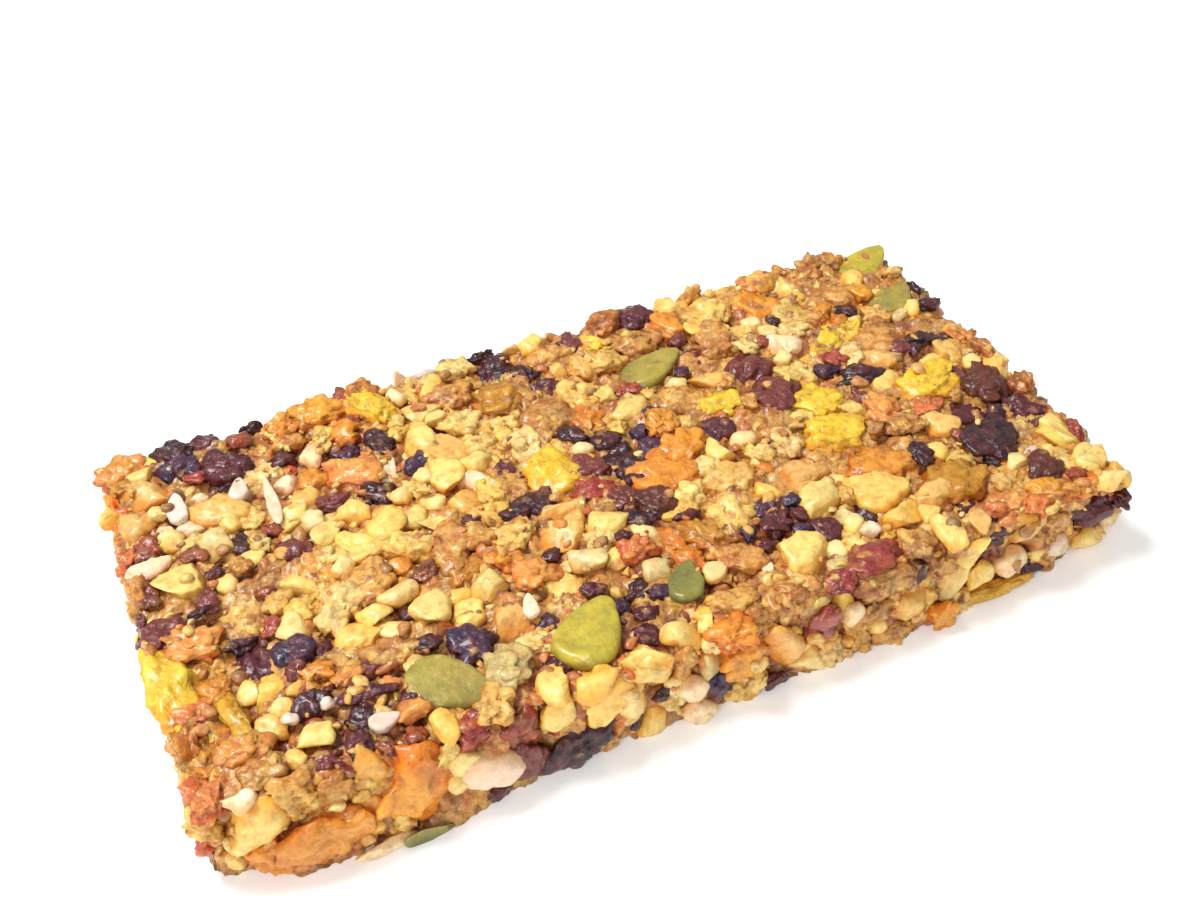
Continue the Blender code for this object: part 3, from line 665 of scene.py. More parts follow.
@dataclass(frozen=True)
class PieceShape:
    """The form of one kind of piece, made from a ball."""

    thickness: float = 0.75
    fine_from: float = 3.4
    grain: float = 0.05
    clumps: float = 0.0
    medley: float = 0.0

    def subdivisions(self, length: float) -> int:
        """Gives how fine a piece is, by its length."""
        return 4 if length >= self.fine_from else 3

    def mould(self, points: np.ndarray, rng: np.random.Generator) -> np.ndarray:
        """Turns the points of a ball of radius one into the form of the piece."""
        return points

    def fitted(
        self, length: float, width: float, rng: np.random.Generator, plainer: int = 0
    ) -> tuple[np.ndarray, np.ndarray]:
        """Makes one piece of a given size, lying along x with its middle at zero.

        Args:
            length: Its length.
            width: Its width.
            rng: The source of the draws.
            plainer: How many steps coarser than usual its mesh is.

        Returns:
            Its points and its triangles.
        """
        ball, faces = Ball.of(self.subdivisions(length) - plainer)
        points = self.mould(ball.copy(), rng)
        low = points.min(axis=0)
        high = points.max(axis=0)
        points = (points - 0.5 * (low + high)) / (high - low)
        return points * np.array([length, width, self.thickness * width]), faces

    @staticmethod
    def pressed(points: np.ndarray, rng: np.random.Generator, share: float = 1.0) -> np.ndarray:
        """Flattens the top of a piece, as the pan's press or the knife did.

        Args:
            points: The points of the turned piece.
            rng: The source of the draws.
            share: How much of the press it got.

        Returns:
            The points with the top flattened and back at the same height.
        """
        soft, left_over, least, most = 0.12, 0.3, 0.05, 0.3
        high = points[:, 2].max()
        level = high - share * rng.uniform(least, most) * (high - points[:, 2].min())
        flat = points.copy()
        flat[:, 2] = level - soft * np.logaddexp(0.0, (level - points[:, 2]) / soft)
        flat[:, 2] += left_over * np.maximum(points[:, 2] - level, 0.0)
        return flat


@dataclass(frozen=True)
class BrokenNut(PieceShape):
    """A chopped nut: a ball cut flat by several breaks, with softened edges."""

    thickness: float = 0.82
    breaks: int = 9
    nearest: float = 0.42
    farthest: float = 0.9
    softness: float = 0.05
    pitting: float = 0.04
    fine_from: float = 4.9
    grain: float = 0.09
    warp: float = 0.22

    def mould(self, points: np.ndarray, rng: np.random.Generator) -> np.ndarray:
        """Bends the ball out of round, cuts it by soft planes and pits it.

        Args:
            points: The points of a ball of radius one.
            rng: The source of the draws.

        Returns:
            The moulded points.
        """
        points = points * (1.0 + self.warp * Waves(rng, 0.28).at(points))[:, None]
        for _ in range(self.breaks):
            way = rng.normal(size=3)
            way /= np.linalg.norm(way)
            over = (points @ way - rng.uniform(self.nearest, self.farthest)) / self.softness
            points = points - np.outer(self.softness * np.logaddexp(0.0, over), way)
        lumps = Waves(rng, 0.7).at(points) + 0.5 * Waves(rng, 1.9).at(points)
        return points * (1.0 + self.pitting * lumps[:, None])


@dataclass(frozen=True)
class PuffedGrain(BrokenNut):
    """A puffed grain: rounder than a nut, with a dimpled skin."""

    thickness: float = 0.88
    breaks: int = 4
    nearest: float = 0.8
    farthest: float = 1.0
    softness: float = 0.12
    pitting: float = 0.05


@dataclass(frozen=True)
class Wrinkled(PieceShape):
    """A raisin or a berry: rounded folds with sharp creases between them."""

    thickness: float = 0.68
    folds: float = 0.34
    small_folds: float = 0.17
    fold_count: float = 0.48
    wander: float = 0.22
    core: float = 0.72
    fine_from: float = 3.5
    clumps: float = 0.3

    def mould(self, points: np.ndarray, rng: np.random.Generator) -> np.ndarray:
        """Folds the ball's skin.

        Args:
            points: The points of a ball of radius one.
            rng: The source of the draws.

        Returns:
            The moulded points.
        """
        ways = np.stack([Waves(rng, 0.4).at(points) for _ in range(3)], axis=1)
        bent = points + self.wander * ways
        large = np.abs(Waves(rng, self.fold_count, 6).at(bent))
        small = np.abs(Waves(rng, 2.2 * self.fold_count, 6).at(bent))
        radius = self.core + self.folds * large + self.small_folds * small
        return points * radius[:, None]


@dataclass(frozen=True)
class FruitSlice(PieceShape):
    """A strip or chunk of dried fruit: a blunt slab with torn, leathery edges."""

    thickness: float = 0.66
    boxiness: float = 0.74
    flatness: float = 0.9
    tear: float = 0.17
    small_tear: float = 0.08
    pucker: float = 0.12
    dimples: float = 0.05
    skew: float = 0.3
    fine_from: float = 4.0
    grain: float = 0.17
    clumps: float = 0.8
    medley: float = 0.1

    def mould(self, points: np.ndarray, rng: np.random.Generator) -> np.ndarray:
        """Squares the ball up, tears its edge and puckers its skin.

        Args:
            points: The points of a ball of radius one.
            rng: The source of the draws.

        Returns:
            The moulded points.
        """
        powers = np.array([self.boxiness, self.boxiness, self.flatness])
        squared = np.sign(points) * np.abs(points) ** powers
        torn = 1.0 + self.tear * Waves(rng, 0.45).at(points) + self.small_tear * Waves(rng, 1.3).at(points)
        folds = np.abs(Waves(rng, 0.9).at(points))
        squared[:, :2] *= torn[:, None]
        squared[:, 2] *= 0.86 + self.pucker * folds + self.dimples * Waves(rng, 1.9).at(points)
        turn = Matrix.Rotation(rng.uniform(-self.skew, self.skew), 3, "Z")
        return squared @ np.array(turn).T


@dataclass(frozen=True)
class PasteLump(PieceShape):
    """A lump of mashed date and crumb: uneven all over."""

    thickness: float = 0.6
    lump: float = 0.16
    small_lump: float = 0.07
    grit: float = 0.05
    fine_from: float = 4.6
    grain: float = 0.12
    clumps: float = 0.7
    medley: float = 0.4

    def mould(self, points: np.ndarray, rng: np.random.Generator) -> np.ndarray:
        """Gives the ball large lumps with small ones on them.

        Args:
            points: The points of a ball of radius one.
            rng: The source of the draws.

        Returns:
            The moulded points.
        """
        lumps = self.lump * Waves(rng, 0.5).at(points) + self.small_lump * Waves(rng, 1.2).at(points)
        rough = self.grit * np.abs(Waves(rng, 2.4).at(points))
        return points * (1.0 + lumps + rough)[:, None]


@dataclass(frozen=True)
class HulledSeed(PieceShape):
    """A hulled seed: a flat drop with a raised rim and one pointed end."""

    thickness: float = 0.3
    taper: float = 0.42
    rim: float = 0.16
    rim_at: float = 0.84
    rim_width: float = 0.1
    curl: float = 0.12
    fine_from: float = 2.4

    def mould(self, points: np.ndarray, rng: np.random.Generator) -> np.ndarray:
        """Draws the ball out to a drop, flattens its faces and lifts its rim.

        Args:
            points: The points of a ball of radius one.
            rng: The source of the draws.

        Returns:
            The moulded points.
        """
        x, y, z = points.T
        reach = np.hypot(x, y)
        face = np.sign(z) * (1.0 - (1.0 - np.abs(z)) ** 2.2)
        ridge = 1.0 + self.rim * np.exp(-(((reach - self.rim_at) / self.rim_width) ** 2))
        side = y * (1.0 - self.taper * x) * (1.0 + 0.04 * Waves(rng, 0.4).at(points))
        lift = self.curl * rng.uniform(-1.0, 1.0) * x**2
        return np.stack([x, side, face * ridge * (1.0 - 0.25 * x) + lift], axis=1)


@dataclass(frozen=True)
class SlimSeed(HulledSeed):
    """A sunflower seed: slimmer and thicker than a pumpkin seed."""

    thickness: float = 0.62
    taper: float = 0.5
    rim: float = 0.0


@dataclass(frozen=True)
class LooseCrumb(BrokenNut):
    """A crumb: a small broken grain."""

    thickness: float = 0.7
    breaks: int = 6
    nearest: float = 0.3
    softness: float = 0.04
    warp: float = 0.25

    def subdivisions(self, length: float) -> int:
        """Gives how fine a crumb is, by its length."""
        return 3 if length > 1.9 else 2


SHAPES: dict[Kind, PieceShape] = {
    Kind.NUT: BrokenNut(),
    Kind.GRAIN: PuffedGrain(),
    Kind.RAISIN: Wrinkled(),
    Kind.CRANBERRY: Wrinkled(
        thickness=0.6, folds=0.3, small_folds=0.14, fold_count=0.4, clumps=0.45, medley=0.12
    ),
    Kind.FRUIT: FruitSlice(),
    Kind.DATE: PasteLump(),
    Kind.CLUSTER: PasteLump(thickness=0.66, clumps=0.85, fine_from=3.8, medley=0.28),
    Kind.PUMPKIN: HulledSeed(),
    Kind.SUNFLOWER: SlimSeed(),
    Kind.CRUMB: LooseCrumb(),
}


class NodeBoard:
    """Adds nodes to a tree and joins them, left to right."""

    def __init__(self, tree: bpy.types.NodeTree) -> None:
        """Empties the tree that it will fill."""
        self.tree = tree
        tree.nodes.clear()

    def add(self, kind: str, values: dict[str, object] | None = None, **settings: object) -> bpy.types.Node:
        """Adds one node.

        Args:
            kind: The node's type name in Blender.
            values: Values for its inputs, by the input's name or number.
            **settings: The node's own settings.

        Returns:
            The node.
        """
        node = self.tree.nodes.new(kind)
        node.location = (220 * len(self.tree.nodes), 0)
        for name, value in settings.items():
            setattr(node, name, value)
        for socket, value in (values or {}).items():
            if isinstance(value, bpy.types.NodeSocket):
                self.tree.links.new(value, node.inputs[socket])
            else:
                node.inputs[socket].default_value = value
        return node

    def mix(self, share: object, first: object, second: object, blend: str = "MIX") -> bpy.types.NodeSocket:
        """Mixes a share of the second colour into the first and gives the socket."""
        node = self.add("ShaderNodeMix", {0: share, 6: first, 7: second}, data_type="RGBA", blend_type=blend)
        return node.outputs[2]

    def math(self, operation: str, first: object, second: object) -> bpy.types.NodeSocket:
        """Works out one sum and gives its socket."""
        return self.add("ShaderNodeMath", {0: first, 1: second}, operation=operation).outputs[0]

    def ramp(
        self, value: object, low: float, high: float, to_low: float = 0.0, to_high: float = 1.0
    ) -> bpy.types.NodeSocket:
        """Maps a value smoothly from one range to another and gives its socket."""
        values = {0: value, 1: low, 2: high, 3: to_low, 4: to_high}
        return self.add("ShaderNodeMapRange", values, interpolation_type="SMOOTHSTEP").outputs[0]

    def noise(
        self, place: object, scale: object, detail: float, roughness: float = 0.5
    ) -> bpy.types.Node:
        """Adds a cloudy pattern of a fineness, with finer layers of some strength on it."""
        values = {"Vector": place, "Scale": scale, "Detail": detail, "Roughness": roughness}
        return self.add("ShaderNodeTexNoise", values)

    def swatch(
        self, value: object, stops: list[tuple[float, Triple]], interpolation: str = "LINEAR"
    ) -> bpy.types.NodeSocket:
        """Picks a colour from a row of them.

        Args:
            value: Where in the row to look, from 0 to 1.
            stops: Where each colour stands, and the colour, linear.
            interpolation: How one colour goes over into the next.

        Returns:
            The socket with the colour.
        """
        node = self.add("ShaderNodeValToRGB", {"Fac": value})
        row = node.color_ramp
        row.interpolation = interpolation
        for i, (position, colour) in enumerate(stops):
            stop = row.elements[i] if i < 2 else row.elements.new(1.0)
            stop.position = position
            stop.color = (*colour, 1.0)
        return node.outputs["Color"]


class SharedEffects:
    """Node groups that several finishes use."""

    def __init__(self) -> None:
        """Builds the groups."""
        self.speckle = self.build_speckle()
        self.smear = self.build_smear()
        self.film = self.build_film()
        self.relief = self.build_relief()

    @staticmethod
    def start(
        name: str, inputs: dict[str, float], outputs: dict[str, str]
    ) -> tuple[NodeBoard, bpy.types.Node, bpy.types.NodeSocket]:
        """Starts a group.

        Args:
            name: The group's name.
            inputs: Its number inputs with their usual values.
            outputs: Its outputs, with "Float" or "Color" for each.

        Returns:
            The group's board, its input node and the socket with the place on the bar.
        """
        group = bpy.data.node_groups.new(name, "ShaderNodeTree")
        for label, value in inputs.items():
            socket = group.interface.new_socket(label, in_out="INPUT", socket_type="NodeSocketFloat")
            socket.default_value = value
        for label, kind in outputs.items():
            group.interface.new_socket(label, in_out="OUTPUT", socket_type=f"NodeSocket{kind}")
        board = NodeBoard(group)
        enter = board.add("NodeGroupInput")
        return board, enter, board.add("ShaderNodeTexCoord").outputs["Object"]

    def build_speckle(self) -> bpy.types.NodeTree:
        """Builds soft blotches and fine specks, from 0 to 1, and a mottle of warm shades to multiply by.

        Returns:
            The group.
        """
        shift = (0.03, 0.05, 0.07)
        stops = [
            (0.3, (0.34, 0.16, 0.1)), (0.42, (0.72, 0.5, 0.34)),
            (0.52, (0.96, 0.9, 0.8)), (0.62, (1.0, 1.0, 1.0)),
        ]
        board, enter, place = self.start(
            "speckle", {"Blotch Scale": 700.0, "Speck Scale": 3000.0},
            {"Blotches": "Float", "Specks": "Float", "Mottle": "Color"},
        )
        blotch = board.noise(place, enter.outputs["Blotch Scale"], 3.0, 0.6)
        speck = board.noise(place, enter.outputs["Speck Scale"], 2.0, 0.7)
        moved = board.add("ShaderNodeVectorMath", {0: place, 1: shift}, operation="ADD")
        finer = board.math("MULTIPLY", enter.outputs["Blotch Scale"], 1.5)
        patchy = board.noise(moved.outputs[0], finer, 4.0, 0.62)
        mottle = board.swatch(patchy.outputs["Fac"], stops)
        board.add(
            "NodeGroupOutput",
            {
                "Blotches": board.ramp(blotch.outputs["Fac"], 0.34, 0.66),
                "Specks": board.ramp(speck.outputs["Fac"], 0.34, 0.66),
                "Mottle": mottle,
            },
        )
        return board.tree

    def build_smear(self) -> bpy.types.NodeTree:
        """Builds the mask of the sticky paste that creeps up a piece out of the gaps.

        Returns:
            The group.
        """
        board, enter, place = self.start(
            "paste_smear", {"Depth": 0.0, "Reach": 0.3, "Scale": 800.0}, {"Mask": "Float"}
        )
        uneven = board.noise(place, enter.outputs["Scale"], 4.0, 0.7)
        spread = board.math("MULTIPLY", board.math("SUBTRACT", uneven.outputs["Fac"], 0.5), 3.2)
        edge = board.math("ADD", board.math("ADD", enter.outputs["Depth"], enter.outputs["Reach"]), spread)
        board.add("NodeGroupOutput", {"Mask": board.ramp(edge, 0.05, 0.5)})
        return board.tree

    def build_film(self) -> bpy.types.NodeTree:
        """Builds the film of fine crumbs that sticks to everything: some grains here, none there.

        Returns:
            The group.
        """
        palette = (
            Tint.TAN, Tint.ROSE_CRUMB, Tint.HONEY, Tint.TAN,
            Tint.DATE, Tint.CREAM, Tint.ROSE_CRUMB, Tint.HONEY,
        )
        stops = [(i / len(palette), tuple(tint.linear())) for i, tint in enumerate(palette)]
        board, enter, place = self.start(
            "crumb_film", {"Depth": 0.0, "Cover": 0.3, "Scale": 1000.0},
            {"Mask": "Float", "Colour": "Color", "Height": "Float"},
        )
        drift = board.noise(place, 1600.0, 2.0).outputs["Color"]
        shift = (0.0009, 0.0009, 0.0009)
        bent = board.add("ShaderNodeVectorMath", {0: drift, 1: shift, 2: place}, operation="MULTIPLY_ADD")
        cells = board.add(
            "ShaderNodeTexVoronoi", {"Vector": bent.outputs[0], "Scale": enter.outputs["Scale"]}
        )
        draws = board.add("ShaderNodeSeparateColor", {0: cells.outputs["Color"]})
        patches = board.noise(place, 260.0, 3.0)
        zone = board.ramp(patches.outputs["Fac"], 0.36, 0.64, 0.2, 1.7)
        cover = board.math("MULTIPLY", enter.outputs["Cover"], zone)
        deeper = board.math("MULTIPLY", enter.outputs["Depth"], 0.03)
        room = board.math("SUBTRACT", board.math("ADD", cover, deeper), draws.outputs[1])
        blob = board.ramp(cells.outputs["Distance"], 0.8, 0.25)
        mask = board.math("MULTIPLY", board.ramp(room, -0.05, 0.12), blob)
        colour = board.swatch(draws.outputs[2], stops, "CONSTANT")
        dome = board.math("SUBTRACT", 1.0, cells.outputs["Distance"])
        board.add(
            "NodeGroupOutput", {"Mask": mask, "Colour": colour, "Height": board.math("MULTIPLY", mask, dome)}
        )
        return board.tree

    def build_relief(self) -> bpy.types.NodeTree:
        """Builds the height of fine pits and grain.

        Returns:
            The group.
        """
        board, enter, place = self.start(
            "fine_relief", {"Scale": 1500.0, "Grain": 0.5}, {"Height": "Float"}
        )
        lumps = board.noise(place, enter.outputs["Scale"], 4.0, 0.6)
        cells = board.add("ShaderNodeTexVoronoi", {"Vector": place, "Scale": enter.outputs["Scale"]})
        grain = board.math("MULTIPLY", cells.outputs["Distance"], enter.outputs["Grain"])
        board.add("NodeGroupOutput", {"Height": board.math("ADD", lumps.outputs["Fac"], grain)})
        return board.tree


@dataclass(frozen=True)
class Finish:
    """The surface of one kind of piece."""

    name: str
    roughness: float = 0.5
    roughness_spread: float = 0.12
    coat: float = 0.0
    coat_roughness: float = 0.16
    sheen: float = 0.35
    glow: float = 0.0
    glow_depth: float = 0.9
    glow_reach: Triple = (1.0, 0.55, 0.25)
    accent: Tint = Tint.TAN
    accent_share: float = 0.35
    # Painted highlight: this lighter colour is mixed into the parts of a piece that stand above the bar's
    # smooth level
    painted_highlight: Tint = Tint.IVORY
    painted_highlight_share: float = 0.0
    mottle: float = 0.5
    # Painted shade and glow: each piece is multiplied towards this warm colour further down from its own top
    edge: Triple = (1.0, 0.7, 0.34)
    lower_side_shade_share: float = 0.6
    paste: Tint = Tint.ROSE_CRUMB
    paste_reach: float = 0.2
    film: float = 0.25
    film_scale: float = 1000.0
    film_opacity: float = 0.85
    specks: float = 0.18
    speck_shade: Triple = (0.6, 0.44, 0.34)
    # Painted shade in the crevices: points deep under the bar's smooth level are darkened towards
    # crevice_shade
    crevice_shade_share: float = 0.85
    crevice_shade: Triple = (0.4, 0.15, 0.11)
    relief_scale: float = 1500.0
    relief_grain: float = 0.5
    relief_depth: float = 0.12
    film_depth: float = 0.22
    bump: float = 0.9
    blotch_scale: float = 600.0

    def material(self, effects: SharedEffects) -> bpy.types.Material:
        """Builds the material.

        Args:
            effects: The node groups that the finishes share.

        Returns:
            The material.
        """
        material = bpy.data.materials.new(self.name)
        material.use_nodes = True
        board = NodeBoard(material.node_tree)
        tint = board.add("ShaderNodeAttribute", attribute_name="tint").outputs["Vector"]
        depth = board.add("ShaderNodeAttribute", attribute_name="depth").outputs["Fac"]
        drop = board.add("ShaderNodeAttribute", attribute_name="drop").outputs["Fac"]
        speckle = board.add(
            "ShaderNodeGroup",
            {"Blotch Scale": self.blotch_scale, "Speck Scale": 5.0 * self.blotch_scale},
            node_tree=effects.speckle,
        )
        smear = board.add(
            "ShaderNodeGroup", {"Depth": depth, "Reach": self.paste_reach}, node_tree=effects.smear
        )
        film = board.add(
            "ShaderNodeGroup",
            {"Depth": depth, "Cover": self.film, "Scale": self.film_scale},
            node_tree=effects.film,
        )
        relief = board.add(
            "ShaderNodeGroup", {"Scale": self.relief_scale, "Grain": self.relief_grain},
            node_tree=effects.relief,
        )
        colour = self.colour(board, tint, depth, drop, speckle, smear, film)
        rough = board.ramp(
            speckle.outputs["Specks"], 0.0, 1.0,
            self.roughness - self.roughness_spread, self.roughness + self.roughness_spread,
        )
        grain = board.math("MULTIPLY", relief.outputs["Height"], self.relief_depth)
        stuck = board.math("MULTIPLY", film.outputs["Height"], self.film_depth)
        bump = board.add(
            "ShaderNodeBump",
            {"Height": board.math("ADD", grain, stuck), "Distance": MM, "Strength": self.bump},
        )
        shader = board.add(
            "ShaderNodeBsdfPrincipled",
            {
                "Base Color": colour,
                "Roughness": rough,
                "Normal": bump.outputs["Normal"],
                "Coat Weight": self.coat,
                "Coat Roughness": self.coat_roughness,
                "Specular IOR Level": self.sheen,
                "Subsurface Weight": self.glow,
                "Subsurface Radius": self.glow_reach,
                "Subsurface Scale": self.glow_depth * MM,
            },
        )
        board.add("ShaderNodeOutputMaterial", {"Surface": shader.outputs["BSDF"]})
        return material

    def colour(
        self, board: NodeBoard, tint: bpy.types.NodeSocket, depth: bpy.types.NodeSocket,
        drop: bpy.types.NodeSocket, speckle: bpy.types.Node, smear: bpy.types.Node, film: bpy.types.Node,
    ) -> bpy.types.NodeSocket:
        """Lays the colours over each other: the piece's own, a painted highlight on its raised parts,
        painted shade and glow down its sides, crumbs, paste and painted shade in the crevices.

        Args:
            board: The material's board.
            tint: The piece's own colour.
            depth: How deep the point lies under the bar's smooth level, in mm.
            drop: How far the point lies under its piece's own top, in mm.
            speckle: The group of blotches and specks.
            smear: The group of paste.
            film: The group of fine crumbs.

        Returns:
            The socket with the colour.
        """
        accent = board.math("MULTIPLY", speckle.outputs["Blotches"], self.accent_share)
        base = board.mix(accent, tint, (*self.accent.linear(), 1.0))
        # Painted highlight: the parts that stand out above the smooth level turn lighter
        painted_highlight = board.ramp(depth, 0.1, -0.9, 0.0, self.painted_highlight_share)
        base = board.mix(painted_highlight, base, (*self.painted_highlight.linear(), 1.0))
        # Painted shade and glow: darker and warmer further down from the piece's own top
        edge = board.ramp(drop, 0.1, 1.3, 0.0, self.lower_side_shade_share)
        base = board.mix(edge, base, board.mix(1.0, base, (*self.edge, 1.0), "MULTIPLY"))
        base = board.mix(self.mottle, base, board.mix(1.0, base, speckle.outputs["Mottle"], "MULTIPLY"))
        specks = board.math("MULTIPLY", speckle.outputs["Specks"], self.specks)
        base = board.mix(specks, base, board.mix(1.0, base, (*self.speck_shade, 1.0), "MULTIPLY"))
        base = board.mix(smear.outputs["Mask"], base, (*self.paste.linear(), 1.0))
        stuck = board.math("MULTIPLY", film.outputs["Mask"], self.film_opacity)
        base = board.mix(stuck, base, film.outputs["Colour"])
        # Painted shade in the gaps: the deeper under the smooth level, the darker
        crevice_shade_share = board.ramp(depth, 0.05, 1.0, 0.0, self.crevice_shade_share)
        return board.mix(crevice_shade_share, base, board.mix(1.0, base, (*self.crevice_shade, 1.0), "MULTIPLY"))


@dataclass
class Batch:
    """Pieces of one kind, gathered to become one mesh."""

    name: str
    points: list[np.ndarray] = field(default_factory=list)
    faces: list[np.ndarray] = field(default_factory=list)
    tints: list[np.ndarray] = field(default_factory=list)
    drops: list[np.ndarray] = field(default_factory=list)
    count: int = 0

    def add(self, points: np.ndarray, faces: np.ndarray, tint: np.ndarray, drop: np.ndarray) -> None:
        """Adds one piece.

        Args:
            points: Its points, in mm on the bar.
            faces: Its triangles.
            tint: Its colour, linear, for the whole piece or for each point.
            drop: How far each point lies under the piece's own top, in mm.
        """
        self.faces.append(faces + self.count)
        self.points.append(points)
        self.tints.append(np.broadcast_to(tint, (len(points), 3)))
        self.drops.append(drop)
        self.count += len(points)

    def joined(self) -> tuple[np.ndarray, np.ndarray, np.ndarray, np.ndarray]:
        """Gives the points, the faces, the colour of each point and its drop."""
        parts = (self.points, self.faces, self.tints, self.drops)
        return tuple(np.concatenate(part) for part in parts)


class MeshMaker:
    """Turns points and faces on the bar into objects of the scene."""

    def __init__(self) -> None:
        """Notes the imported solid's box, which everything must stay inside."""
        low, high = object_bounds()
        margin = BOX_MARGIN * MM
        self.low = np.array(low) + margin * np.array([1, 1, 0])
        self.high = np.array(high) - margin

    def placed(self, points: np.ndarray) -> np.ndarray:
        """Moves points from mm on the bar to metres in the frame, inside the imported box."""
        middle = np.array([*FOOTPRINT_MIDDLE, 0.0])
        return np.clip((points - middle) * MM, self.low, self.high)

    def build(
        self, name: str, points: np.ndarray, faces: list[list[int]] | np.ndarray,
        tints: np.ndarray, depths: np.ndarray, drops: np.ndarray,
    ) -> bpy.types.Object:
        """Makes a smooth mesh object with a tint, a depth and a drop on each point.

        Args:
            name: The object's name.
            points: Its points, in mm on the bar.
            faces: Its faces.
            tints: The colour of each point, linear.
            depths: How deep each point lies under the bar's smooth level, in mm.
            drops: How far each point lies under its piece's own top, in mm.

        Returns:
            The object, in the scene and riding on the bar.
        """
        mesh = bpy.data.meshes.new(name)
        if isinstance(faces, np.ndarray):
            mesh.vertices.add(len(points))
            mesh.loops.add(faces.size)
            mesh.polygons.add(len(faces))
            mesh.vertices.foreach_set("co", self.placed(points).ravel())
            mesh.loops.foreach_set("vertex_index", faces.ravel())
            mesh.polygons.foreach_set("loop_start", np.arange(0, faces.size, faces.shape[1]))
            mesh.update(calc_edges=True)
        else:
            mesh.from_pydata(self.placed(points).tolist(), [], faces)
        mesh.attributes.new("tint", "FLOAT_VECTOR", "POINT").data.foreach_set("vector", tints.ravel())
        mesh.attributes.new("depth", "FLOAT", "POINT").data.foreach_set("value", depths)
        mesh.attributes.new("drop", "FLOAT", "POINT").data.foreach_set("value", drops)
        mesh.shade_smooth()
        piece = bpy.data.objects.new(name, mesh)
        bpy.context.scene.collection.objects.link(piece)
        return self.adopt(piece)

    def adopt(self, piece: bpy.types.Object) -> bpy.types.Object:
        """Sets a piece riding on the bar's body and hides the imported part that it covers.

        Args:
            piece: The piece's object.

        Returns:
            The same object.
        """
        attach(piece, BODY)
        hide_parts(NODE)
        return piece


def rough_noise(points: np.ndarray, size: float, start: float) -> np.ndarray:
    """Gives the height of lumps of a size, from about -1 to 1; each start gives other lumps."""
    moved = points / size + start
    return np.array([noise.noise(Vector(point)) for point in moved.tolist()])


def granules(points: np.ndarray, size: float) -> tuple[np.ndarray, np.ndarray]:
    """Packs the space with grains.

    Args:
        points: The points to look at.
        size: The size of a grain.

    Returns:
        The height of the grain's dome at each point, from 0 in a seam to 1, and a number from 0
        to 1 that is the same all over a grain.
    """
    domes = np.empty(len(points))
    marks = np.empty(len(points))
    for i, point in enumerate((points / size).tolist()):
        distances, seeds = noise.voronoi(Vector(point))
        domes[i] = distances[1] - distances[0]
        marks[i] = noise.cell(seeds[0] * 7.31)
    return np.sqrt(np.clip(domes * 1.6, 0.0, 1.0)), 0.5 * (marks + 1.0) % 1.0


# The grains of crumb, in the slab and in the lumps of paste
GRAIN_TINTS = (
    Tint.HONEY, Tint.MINT, Tint.ROSE_CRUMB, Tint.HONEY, Tint.CREAM, Tint.TAN, Tint.DATE, Tint.LEMON,
    Tint.LIME_NUT, Tint.ROSE_CRUMB, Tint.IVORY, Tint.UMBER, Tint.IVORY, Tint.TAN, Tint.SALMON, Tint.PLUM,
)


